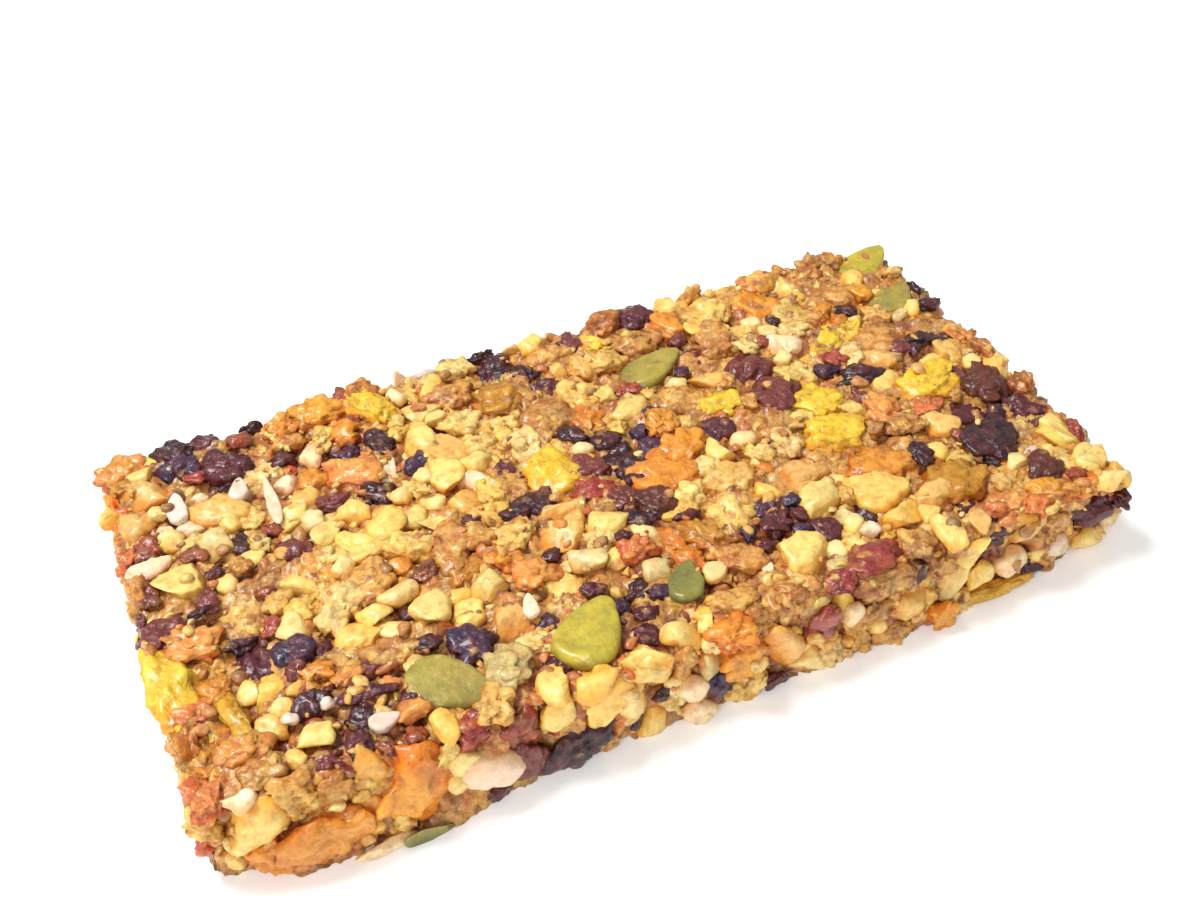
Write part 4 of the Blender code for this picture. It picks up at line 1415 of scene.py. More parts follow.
@dataclass
class CrumbSlab:
    """The pressed slab of grains and crumb that holds the pieces."""

    outline: Outline
    step: float = 0.33
    sink: float = 0.45
    edge_radius: float = 1.1
    lump_size: float = 4.5
    lump_height: float = 1.1
    grain_size: float = 2.0
    grain_height: float = 0.55
    fine_size: float = 0.95
    fine_height: float = 0.36
    bend: float = 0.5
    pore_size: float = 0.4
    pore_height: float = 0.14
    zone_size: float = 6.0
    floor: float = -1.3
    wet_radius: float = 0.75
    wetting: float = 0.85
    side_wetting: float = 0.3
    wet_share: float = 0.6
    wet_spread: float = 1.1
    side_sink: float = 0.45
    drawn_share: float = 0.36
    speck_share: float = 0.28
    ground_share: float = 0.36

    def grid(self) -> tuple[np.ndarray, np.ndarray, list[list[int]]]:
        """Lays out the slab's surface.

        Returns:
            The points, their outward directions and the faces.
        """
        cut = self.outline
        columns = round(2 * cut.half_length() / self.step)
        rows = round(2 * cut.half_width() / self.step)
        s, t = np.meshgrid(np.linspace(0, 1, columns + 1), np.linspace(0, 1, rows + 1), indexing="ij")
        x = cut.left + s * (cut.right - cut.left)
        front = cut.front(x, cut.height)
        y = front + t * (cut.back(x) - front)
        inner = np.minimum(np.minimum(x - cut.left, cut.right - x), np.minimum(y - front, cut.back(x) - y))
        near = np.clip(1.0 - inner / self.edge_radius, 0.0, 1.0)
        out = np.stack([self.edge_way(s), self.edge_way(t), np.zeros_like(s)], axis=-1)
        ways = out * near[..., None]
        ways[..., 2] = np.sqrt(1.0 - 0.75 * near**2)
        drop = self.edge_radius * (1.0 - np.sqrt(1.0 - near**2))
        z = cut.height - self.sink - drop
        index = np.arange(s.size).reshape(s.shape)
        faces = np.stack([index[:-1, :-1], index[1:, :-1], index[1:, 1:], index[:-1, 1:]], axis=-1)
        quads = faces.reshape(-1, 4).tolist()
        points = [np.stack([x, y, z], axis=-1).reshape(-1, 3)]
        normals = [ways.reshape(-1, 3)]
        ring = np.concatenate([index[:, 0], index[-1, 1:], index[-2::-1, -1], index[0, -2:0:-1]])
        rim = points[0][ring]
        way = normals[0][ring] * np.array([1.0, 1.0, 0.0])
        way /= np.linalg.norm(way, axis=1, keepdims=True)
        levels = round(rim[0, 2] / self.step)
        above = ring
        for level in range(1, levels + 1):
            side = rim.copy()
            side[:, 2] *= 1.0 - level / levels
            on_front = way[:, 1] < -0.5
            side[on_front, 1] = cut.front(rim[on_front, 0], side[on_front, 2])
            side += way * np.where(on_front, 0.0, cut.belly * min(1.0, 2.0 * level / levels))[:, None]
            below = sum(len(p) for p in points) + np.arange(len(ring))
            quads += np.stack([above, below, np.roll(below, -1), np.roll(above, -1)], axis=-1).tolist()
            points.append(side)
            normals.append(way)
            above = below
        quads.append(above[::-1].tolist())
        return np.concatenate(points), np.concatenate(normals), quads

    @staticmethod
    def edge_way(share: np.ndarray) -> np.ndarray:
        """Gives -1 at the low edge, 1 at the high edge and a fade in between."""
        return np.sign(share - 0.5) * (np.abs(share - 0.5) * 2.0) ** 40

    def wet(self, points: np.ndarray, ways: np.ndarray, height: np.ndarray, pieces: Relief) -> np.ndarray:
        """Draws the sticky crumb up against the pieces, as syrup creeps up what it touches.

        Args:
            points: The slab's points before they are moved.
            ways: Their outward directions.
            height: How far each is to be moved out.
            pieces: The height maps of the pieces.

        Returns:
            The heights, higher near the pieces.
        """
        raised = height.copy()
        x, y, z = ways.T
        chosen = {
            Face.TOP: z > 0.5,
            Face.FRONT: (z <= 0.5) & (-y >= abs(x)),
            Face.BACK: (z <= 0.5) & (y >= abs(x)),
            Face.LEFT: (z <= 0.5) & (-x > abs(y)),
            Face.RIGHT: (z <= 0.5) & (x > abs(y)),
        }
        for face, here in chosen.items():
            map_ = pieces.maps[face]
            u, v, out = map_.side.local(points[here]).T
            i, j, _ = map_.cells(u, v)
            level = map_.smooth(self.floor, self.wet_radius)[i, j] - out
            uneven = self.wet_spread * rough_noise(points[here], self.zone_size, 60.0)
            share = np.clip(self.wet_share + uneven, 0.12, 1.0)
            share *= self.wetting if face is Face.TOP else self.side_wetting
            raised[here] += share * np.maximum(level - height[here], 0.0)
        return raised

    def shape(self, pieces: Relief) -> tuple[np.ndarray, list[list[int]], np.ndarray]:
        """Works out the slab's surface, packed with grains and drawn up against the pieces.

        Args:
            pieces: The height maps of the pieces.

        Returns:
            The points, the faces and the colour of each point.
        """
        points, ways, faces = self.grid()
        lumps = rough_noise(points, self.lump_size, 3.0)
        bends = [rough_noise(points, 1.6 * self.grain_size, start) for start in (11.0, 23.0, 37.0)]
        bent = points + self.bend * np.stack(bends, axis=1)
        domes, marks = granules(bent, self.grain_size)
        fine, fine_marks = granules(bent + 40.0, self.fine_size)
        pores = rough_noise(points, self.pore_size, 90.0)
        lean = np.clip(1.0 - 2.0 * ways[:, 2], 0.0, 1.0)
        height = self.wet(points, ways, self.lump_height * lumps - 0.3 - self.side_sink * lean, pieces)
        height += self.grain_height * (domes + marks - 1.0)
        height += self.fine_height * (fine - 0.5) + self.pore_height * pores
        on_base = points[:, 2] < 1e-6
        points = points + ways * height[:, None]
        points[on_base, 2] = 0.0
        points[:, 2] = np.maximum(points[:, 2], 0.0)
        zones = np.clip(0.5 + 1.6 * rough_noise(points, self.zone_size, 150.0), 0.0, 1.0)[:, None]
        palette = np.array([tint.linear() for tint in GRAIN_TINTS])
        drawn = palette[(marks * len(palette)).astype(int)]
        speck = palette[(fine_marks * len(palette)).astype(int)]
        on_top = ways[:, 2:] > 0.5
        ground = Tint.ROSE_CRUMB.linear() * (1.0 - zones) + Tint.DATE.linear() * zones
        for patch in PATCHES:
            share = patch.share(points[:, 0], points[:, 1] - TOP_MIDDLE_Y)[:, None] * on_top
            ground = ground * (1.0 - share) + patch.crumb.linear() * share
        tints = self.drawn_share * drawn + self.speck_share * speck + self.ground_share * ground
        return points, faces, tints


@dataclass(frozen=True)
class Share:
    """How often a kind of piece turns up in the mix, and between which lengths."""

    kind: Kind
    tint: Tint
    weight: float
    smallest: float
    largest: float


MIX = (
    Share(Kind.NUT, Tint.CREAM, 10.0, 2.2, 6.4),
    Share(Kind.NUT, Tint.LEMON, 6.0, 2.2, 6.4),
    Share(Kind.NUT, Tint.IVORY, 6.0, 2.2, 5.8),
    Share(Kind.NUT, Tint.LIME_NUT, 3.0, 2.2, 5.8),
    Share(Kind.NUT, Tint.MINT, 2.0, 2.2, 5.0),
    Share(Kind.NUT, Tint.MILK, 2.5, 2.2, 5.0),
    Share(Kind.NUT, Tint.TAN, 3.5, 2.2, 6.6),
    Share(Kind.NUT, Tint.HONEY, 4.0, 2.2, 6.6),
    Share(Kind.CLUSTER, Tint.CREAM, 6.0, 2.8, 7.6),
    Share(Kind.CLUSTER, Tint.LEMON, 5.0, 2.8, 7.6),
    Share(Kind.CLUSTER, Tint.IVORY, 4.0, 2.8, 7.6),
    Share(Kind.CLUSTER, Tint.HONEY, 3.0, 2.8, 7.6),
    Share(Kind.CLUSTER, Tint.TAN, 1.5, 2.8, 7.6),
    Share(Kind.CLUSTER, Tint.LIME_NUT, 2.5, 2.8, 7.6),
    Share(Kind.GRAIN, Tint.CREAM, 8.0, 1.2, 3.3),
    Share(Kind.GRAIN, Tint.IVORY, 7.0, 1.2, 3.3),
    Share(Kind.GRAIN, Tint.LEMON, 5.0, 1.2, 3.3),
    Share(Kind.DATE, Tint.ROSE_CRUMB, 6.0, 2.0, 7.6),
    Share(Kind.DATE, Tint.TAN, 5.0, 2.0, 7.6),
    Share(Kind.DATE, Tint.DATE, 4.0, 2.0, 7.6),
    Share(Kind.RAISIN, Tint.PRUNE, 7.0, 2.0, 6.6),
    Share(Kind.RAISIN, Tint.PLUM, 7.0, 2.0, 6.6),
    Share(Kind.RAISIN, Tint.MAUVE, 4.5, 2.6, 7.6),
    Share(Kind.RAISIN, Tint.NAVY, 3.0, 2.4, 6.4),
    Share(Kind.CRANBERRY, Tint.MAROON, 3.0, 2.0, 5.4),
    Share(Kind.CRANBERRY, Tint.CRANBERRY, 1.6, 2.0, 6.4),
    Share(Kind.FRUIT, Tint.SALMON, 3.0, 2.4, 7.6),
    Share(Kind.FRUIT, Tint.APRICOT, 3.0, 2.4, 9.0),
    Share(Kind.FRUIT, Tint.TANGERINE, 1.6, 2.4, 7.6),
    Share(Kind.FRUIT, Tint.CORAL, 1.4, 2.0, 5.4),
    Share(Kind.FRUIT, Tint.AMBER, 1.8, 3.0, 9.0),
    Share(Kind.FRUIT, Tint.MANGO, 1.2, 2.4, 9.0),
    Share(Kind.SUNFLOWER, Tint.SUNFLOWER, 2.0, 3.8, 5.4),
    Share(Kind.SUNFLOWER, Tint.LILAC_SEED, 1.2, 3.8, 5.4),
    Share(Kind.PUMPKIN, Tint.PUMPKIN_OLIVE, 5.0, 8.0, 9.0),
    Share(Kind.PUMPKIN, Tint.PUMPKIN_LIME, 2.0, 8.0, 9.0),
    Share(Kind.PUMPKIN, Tint.PUMPKIN_DARK, 3.0, 8.0, 9.0),
)

WIDTH_SHARES = {Kind.PUMPKIN: 0.62, Kind.SUNFLOWER: 0.48, Kind.GRAIN: 0.9}


class Family(Enum):
    """A family of pieces that lie together; its value is where in the noise its clusters start."""

    PALE = 0.0
    DARK = 20.0
    WARM = 40.0
    SEED = 60.0
    PASTE = 80.0


FAMILIES = {
    Kind.NUT: Family.PALE, Kind.GRAIN: Family.PALE, Kind.SUNFLOWER: Family.PALE,
    Kind.PUMPKIN: Family.SEED, Kind.RAISIN: Family.DARK, Kind.CRANBERRY: Family.DARK,
    Kind.FRUIT: Family.WARM, Kind.DATE: Family.PASTE, Kind.CLUSTER: Family.PALE,
}


@dataclass(frozen=True)
class Patch:
    """A place on the top where one family prevails, and the colour that the crumb has there."""

    u: float
    v: float
    radius: float
    family: Family
    crumb: Tint

    def share(self, u: float | np.ndarray, v: float | np.ndarray) -> float | np.ndarray:
        """Gives how strongly a place belongs to the patch, from 0 to 1."""
        return np.exp(-((u - self.u) ** 2 + (v - self.v) ** 2) / self.radius**2)


PATCHES = (
    Patch(-48.0, 22.0, 4.5, Family.WARM, Tint.ROSE_CRUMB),
    Patch(-39.0, 20.0, 6.5, Family.DARK, Tint.UMBER),
    Patch(-28.0, 22.5, 5.0, Family.WARM, Tint.APRICOT),
    Patch(-25.0, 13.0, 6.0, Family.WARM, Tint.ROSE_CRUMB),
    Patch(-46.0, 14.5, 5.0, Family.PALE, Tint.TAN),
    Patch(-38.0, 12.0, 4.5, Family.PALE, Tint.LIME_NUT),
    Patch(-44.5, 5.0, 5.0, Family.PALE, Tint.CREAM),
    Patch(-35.5, 2.5, 4.5, Family.PASTE, Tint.ROSE_CRUMB),
    Patch(-29.0, 2.0, 5.0, Family.PALE, Tint.HONEY),
    Patch(-23.5, 3.0, 4.0, Family.PALE, Tint.CREAM),
    Patch(-12.5, 9.0, 7.0, Family.PALE, Tint.LEMON),
    Patch(-44.0, -3.0, 3.5, Family.DARK, Tint.MAUVE),
    Patch(-35.0, -5.5, 7.0, Family.PALE, Tint.HONEY),
    Patch(-25.0, -4.0, 5.5, Family.PASTE, Tint.ROSE_CRUMB),
    Patch(-16.5, -3.0, 5.5, Family.PASTE, Tint.ROSE_CRUMB),
    Patch(-9.0, -2.5, 4.0, Family.DARK, Tint.UMBER),
    Patch(1.5, 0.0, 5.5, Family.DARK, Tint.DATE),
    Patch(-25.5, -11.0, 4.5, Family.PALE, Tint.CREAM),
    Patch(-38.0, -11.5, 3.5, Family.DARK, Tint.UMBER),
    Patch(-34.0, -20.0, 6.0, Family.DARK, Tint.UMBER),
    Patch(-20.5, -18.5, 3.5, Family.DARK, Tint.UMBER),
    Patch(-8.0, -8.5, 5.0, Family.PALE, Tint.TAN),
    Patch(4.0, -8.0, 4.0, Family.DARK, Tint.DATE),
    Patch(12.5, -6.0, 5.5, Family.PALE, Tint.LIME_NUT),
    Patch(-2.0, -14.0, 3.5, Family.WARM, Tint.CORAL),
    Patch(5.5, -14.0, 3.5, Family.WARM, Tint.AMBER),
    Patch(12.0, -17.0, 3.5, Family.DARK, Tint.ROSE_CRUMB),
    Patch(-2.0, -20.0, 4.0, Family.DARK, Tint.PUMPKIN_DARK),
    Patch(6.0, -22.0, 5.0, Family.PASTE, Tint.ROSE_CRUMB),
    Patch(18.0, -16.0, 4.5, Family.PALE, Tint.CREAM),
    Patch(28.0, -20.0, 5.5, Family.PALE, Tint.LIME_NUT),
    Patch(35.0, -19.0, 4.5, Family.WARM, Tint.AMBER),
    Patch(42.0, -13.0, 6.0, Family.DARK, Tint.UMBER),
    Patch(47.5, -18.0, 4.0, Family.PALE, Tint.CREAM),
    Patch(-47.5, -11.0, 5.0, Family.WARM, Tint.GOLD),
    Patch(-46.5, -19.0, 4.5, Family.WARM, Tint.AMBER),
    Patch(-43.5, -24.5, 4.5, Family.PASTE, Tint.ROSE_CRUMB),
    Patch(20.0, -25.0, 5.0, Family.DARK, Tint.ROSE_CRUMB),
    Patch(41.0, -24.5, 4.0, Family.WARM, Tint.ROSE_CRUMB),
)


@dataclass
class Scatter:
    """Fills one side of the bar with pieces, the largest first."""

    side: Frame
    half_u: float
    low_v: float
    high_v: float
    gap: float = 0.66
    clumping: float = 4.0
    cluster: float = 9.0
    patch_pull: float = 4.2
    room: float = 0.45
    top_rise: tuple[float, float] = (-0.3, 0.95)
    side_rise: tuple[float, float] = (-0.2, 0.5)
    narrow: tuple[float, float] = (0.62, 0.95)
    taken: list[tuple[float, float, float]] = field(default_factory=list)

    def hold(self, spots: tuple[Spot, ...]) -> None:
        """Keeps the places of pieces that are there already."""
        self.taken += [(spot.u, spot.v, spot.radius()) for spot in spots]

    def hold_edge(self, spots: list[Spot]) -> None:
        """Keeps this side's pieces off the top pieces that reach over its edge.

        Args:
            spots: The pieces of the top.
        """
        for spot in spots:
            place = Frame(Face.TOP, self.side.outline).place(spot.u, spot.v)
            u, v, out = self.side.local(np.array([place]))[0]
            if -out < spot.radius():
                self.taken.append((u, v, 0.8 * spot.radius()))

    def is_free(self, u: float, v: float, radius: float) -> bool:
        """Says whether a piece of that radius clears the others well enough."""
        gap = self.gap
        return all((u - a) ** 2 + (v - b) ** 2 > (gap * (radius + r)) ** 2 for a, b, r in self.taken)

    def draw(self, size: float, u: float, v: float, rng: random.Random) -> Share:
        """Draws from the mix among the kinds that come in a size, by what clusters at the place.

        Args:
            size: The length of the piece.
            u: Its place along the side.
            v: Its place up or across the side.
            rng: The source of the draws.

        Returns:
            What was drawn.
        """
        fitting = [share for share in MIX if share.smallest <= size <= share.largest]
        place = self.side.place(u, v) / self.cluster
        pull = {
            family: self.clumping * noise.noise(place + Vector((family.value, 0.0, family.value)))
            for family in Family
        }
        if self.side.face is Face.TOP:
            for patch in PATCHES:
                pull[patch.family] += self.patch_pull * patch.share(u, v)
        weights = [share.weight * math.exp(pull[FAMILIES[share.kind]]) for share in fitting]
        if self.side.face is Face.TOP and not self.is_hidden(u, v):
            weights = [0.0 if share.kind is Kind.PUMPKIN else w for share, w in zip(fitting, weights)]
        return rng.choices(fitting, weights)[0]

    @staticmethod
    def is_hidden(u: float, v: float) -> bool:
        """Says whether the photo hides that place of the top, so that large seeds may lie there."""
        return u > 2.0 and v > 3.0

    def fill(self, sizes: Sizes, rng: random.Random) -> list[Spot]:
        """Places pieces of each size where there is room.

        Args:
            sizes: The lengths, largest first, each with how often a place is tried for it.
            rng: The source of the draws.

        Returns:
            The pieces.
        """
        spots = []
        for size, tries in sizes:
            for _ in range(tries):
                u = rng.uniform(-self.half_u, self.half_u)
                v = rng.uniform(self.low_v, self.high_v)
                if not self.is_free(u, v, self.room * size):
                    continue
                share = self.draw(size, u, v, rng)
                width = size * WIDTH_SHARES.get(share.kind, rng.uniform(*self.narrow))
                turn = rng.uniform(0.0, 180.0)
                rise = rng.uniform(*(self.top_rise if self.side.face is Face.TOP else self.side_rise))
                spot = Spot(share.kind, share.tint, u, v, size, width, turn, rise, self.side.face)
                self.taken.append((u, v, spot.radius()))
                spots.append(spot)
        return spots


@dataclass
class PressedPieces:
    """Every nut, seed and piece of fruit, set into the sides of the slab."""

    outline: Outline
    seed: int = 11
    coarse_size: float = 1.5
    fine_size: float = 0.7
    tint_spread: float = 0.09
    hue_share: float = 0.4
    tilt: float = 9.0
    side_press: float = 0.25
    side_margin: float = 0.8
    corner_margin: float = 2.2
    base_margin: float = 4.0
    top_sizes: Sizes = (
        (8.8, 30), (7.4, 60), (6.4, 160), (5.6, 260), (4.9, 400),
        (4.2, 500), (3.6, 500), (3.0, 600), (2.4, 700),
    )
    side_sizes: Sizes = (
        (7.0, 40), (5.6, 90), (4.8, 180), (4.1, 240), (3.5, 260), (2.9, 260), (2.3, 260)
    )
    base_sizes: Sizes = ((8.8, 30), (6.4, 120), (4.9, 240), (3.8, 240))

    def spots(self) -> list[Spot]:
        """Gives every piece: the measured ones and those that fill the rest.

        Returns:
            What each piece is and where it lies, in the order in which they are shaped.
        """
        rng = random.Random(self.seed)
        cut = self.outline
        half_length = cut.half_length() - self.side_margin
        half_width = cut.half_width() - self.side_margin
        middle = TOP_MIDDLE_Y
        top = Scatter(Frame(Face.TOP, cut), half_length, -half_width - middle, half_width + 1.0 - middle)
        top.hold(TOP_SPOTS)
        measured = {Face.FRONT: FRONT_SPOTS, Face.RIGHT: RIGHT_SPOTS}
        on_top = [*TOP_SPOTS, *top.fill(self.top_sizes, rng)]
        every = [*on_top, *FRONT_SPOTS, *RIGHT_SPOTS]
        half_end = half_width - self.corner_margin
        halves = {Face.FRONT: half_length, Face.BACK: half_length, Face.LEFT: half_end, Face.RIGHT: half_end}
        for face, half in halves.items():
            side = Scatter(Frame(face, cut), half, self.side_margin, cut.height - self.side_margin)
            side.hold(measured.get(face, ()))
            side.hold_edge(on_top)
            every += side.fill(self.side_sizes, rng)
        base_width = half_width - self.base_margin
        base = Scatter(Frame(Face.BASE, cut), half_length - self.base_margin, -base_width, base_width)
        every += [replace(spot, rise=0.0) for spot in base.fill(self.base_sizes, rng)]
        return every

    def gather(self) -> dict[Kind, Batch]:
        """Shapes every piece and sets it in its place.

        Returns:
            The pieces of each kind.
        """
        rng = np.random.default_rng(self.seed)
        coarse = Waves(rng, 1.0 / self.coarse_size, 12)
        fine = Waves(rng, 1.0 / self.fine_size, 12)
        batches = {kind: Batch(kind.value) for kind in Kind if kind is not Kind.CRUMB}
        for spot in self.spots():
            self.set_piece(spot, batches[spot.kind], coarse, fine, rng)
        return batches

    def set_piece(
        self, spot: Spot, batch: Batch, coarse: Waves, fine: Waves, rng: np.random.Generator
    ) -> None:
        """Shapes one piece and sets it into its side.

        Args:
            spot: What the piece is and where it lies.
            batch: Gathers the pieces of its kind.
            coarse: The larger lumps that roughen every piece.
            fine: The smaller ones.
            rng: The source of the draws.
        """
        shape = SHAPES[spot.kind]
        points, faces = shape.fitted(spot.length, spot.width, rng, int(spot.face is Face.BASE))
        side = Frame(spot.face, self.outline)
        along, across, out = side.axes()
        tilt = math.radians(self.tilt)
        turn = (
            Matrix.Rotation(math.radians(spot.turn), 3, "Z")
            @ Matrix.Rotation(rng.uniform(-tilt, tilt), 3, "X")
            @ Matrix.Rotation(rng.uniform(-tilt, tilt), 3, "Y")
        )
        press = 1.0 if spot.face in (Face.TOP, Face.BASE) else self.side_press
        points = shape.pressed(points @ np.array(turn).T, rng, press)
        ways = points / np.maximum(np.linalg.norm(points, axis=1, keepdims=True), 1e-6)
        drop = points[:, 2].max() - points[:, 2]
        points[:, 2] += spot.rise - points[:, 2].max()
        axes = np.array([along, across, out])
        points = points @ axes + np.array(side.place(spot.u, spot.v))
        rough = shape.grain * (coarse.at(points) + 0.6 * fine.at(points))
        tint = spot.tint.linear() * (1.0 + self.tint_spread * rng.uniform(-1.0, 0.7, 3) * self.hue_share)
        tint = tint * (1.0 + self.tint_spread * rng.uniform(-1.0, 0.8))
        if shape.clumps:
            domes, marks = granules(points, 0.5 + 0.16 * spot.width)
            rough += shape.clumps * (0.6 * domes + marks - 0.9)
            palette = np.array([grain.linear() for grain in GRAIN_TINTS])
            drawn = palette[(marks * 3.0 % 1.0 * len(palette)).astype(int)]
            tint = tint * (0.78 + 0.3 * marks[:, None])
            tint = tint + shape.medley * (drawn - tint)
        points += (ways @ axes) * rough[:, None]
        batch.add(points, faces, np.clip(tint, 0.0, 1.0), drop)


@dataclass
class StickyCrumbs:
    """Small broken crumbs that lie on the pieces and in the gaps, more in some places than in others."""

    outline: Outline
    relief: Relief
    count_on_top: int = 1200
    count_on_sides: int = 560
    on_pieces: float = 0.12
    gap_depth: float = 0.25
    smallest: float = 0.6
    largest: float = 2.2
    cluster: float = 3.5
    edge: float = 0.4
    tries: int = 12
    highest: float = 1.0
    seed: int = 5
    shares: tuple[tuple[Face, float], ...] = (
        (Face.FRONT, 0.32), (Face.BACK, 0.32), (Face.LEFT, 0.18), (Face.RIGHT, 0.18)
    )
    tints: tuple[tuple[Tint, float], ...] = (
        (Tint.TAN, 5.0), (Tint.HONEY, 5.0), (Tint.IVORY, 2.0), (Tint.CREAM, 3.0), (Tint.ROSE_CRUMB, 4.0),
        (Tint.DATE, 2.0), (Tint.APRICOT, 0.8), (Tint.MAROON, 0.7), (Tint.PLUM, 0.8), (Tint.CORAL, 0.4),
    )

    def gather(self) -> Batch:
        """Breaks the crumbs and drops each onto the surface under it.

        Returns:
            The crumbs.
        """
        rng = np.random.default_rng(self.seed)
        batch = Batch(Kind.CRUMB.value)
        counts = {face: round(self.count_on_sides * share) for face, share in self.shares}
        counts[Face.TOP] = self.count_on_top
        for face, count in counts.items():
            side = self.relief.maps[face]
            for _ in range(count):
                u, v = self.draw_place(side, rng)
                self.drop(side, u, v, batch, rng)
        return batch

    def draw_place(self, side: HeightMap, rng: np.random.Generator) -> tuple[float, float]:
        """Draws a place where crumbs gather, most often in a gap between the pieces.

        Args:
            side: The map of the side.
            rng: The source of the draws.

        Returns:
            The place along and across the side.
        """
        low_u, high_u, low_v, high_v = side.side.extent()
        on_piece = rng.random() < self.on_pieces
        for _ in range(self.tries):
            u = rng.uniform(low_u + self.edge, high_u - self.edge)
            v = rng.uniform(low_v + self.edge, high_v - self.edge)
            if not on_piece and side.sunk(u, v) < self.gap_depth:
                continue
            point = side.side.place(u, v) / self.cluster
            if 0.5 + 1.1 * noise.noise(point + Vector((5.0, 9.0, 2.0))) > rng.random():
                break
        return u, v

    def drop(self, side: HeightMap, u: float, v: float, batch: Batch, rng: np.random.Generator) -> None:
        """Breaks one crumb and sinks it partly into the surface at a place.

        Args:
            side: The map of the side that it lies on.
            u: Its place along the side.
            v: Its place across the side.
            batch: Gathers the crumbs.
            rng: The source of the draws.
        """
        size = self.smallest + (self.largest - self.smallest) * rng.random() ** 2
        points, faces = SHAPES[Kind.CRUMB].fitted(size, size * rng.uniform(0.6, 1.0), rng)
        turn = Matrix.Rotation(rng.uniform(0.0, math.tau), 3, "Z")
        turn = turn @ Matrix.Rotation(rng.uniform(-0.6, 0.6), 3, "X")
        points = points @ np.array(turn).T
        drop = points[:, 2].max() - points[:, 2]
        points[:, 2] += min(self.highest, side.height(u, v)) + size * rng.uniform(-0.2, 0.12)
        points = points @ np.array(side.side.axes()) + np.array(side.side.place(u, v))
        chances = np.array([weight for _, weight in self.tints])
        tint = self.tints[rng.choice(len(self.tints), p=chances / chances.sum())][0].linear()
        batch.add(points, faces, np.clip(tint * rng.uniform(0.85, 1.05), 0.0, 1.0), drop)


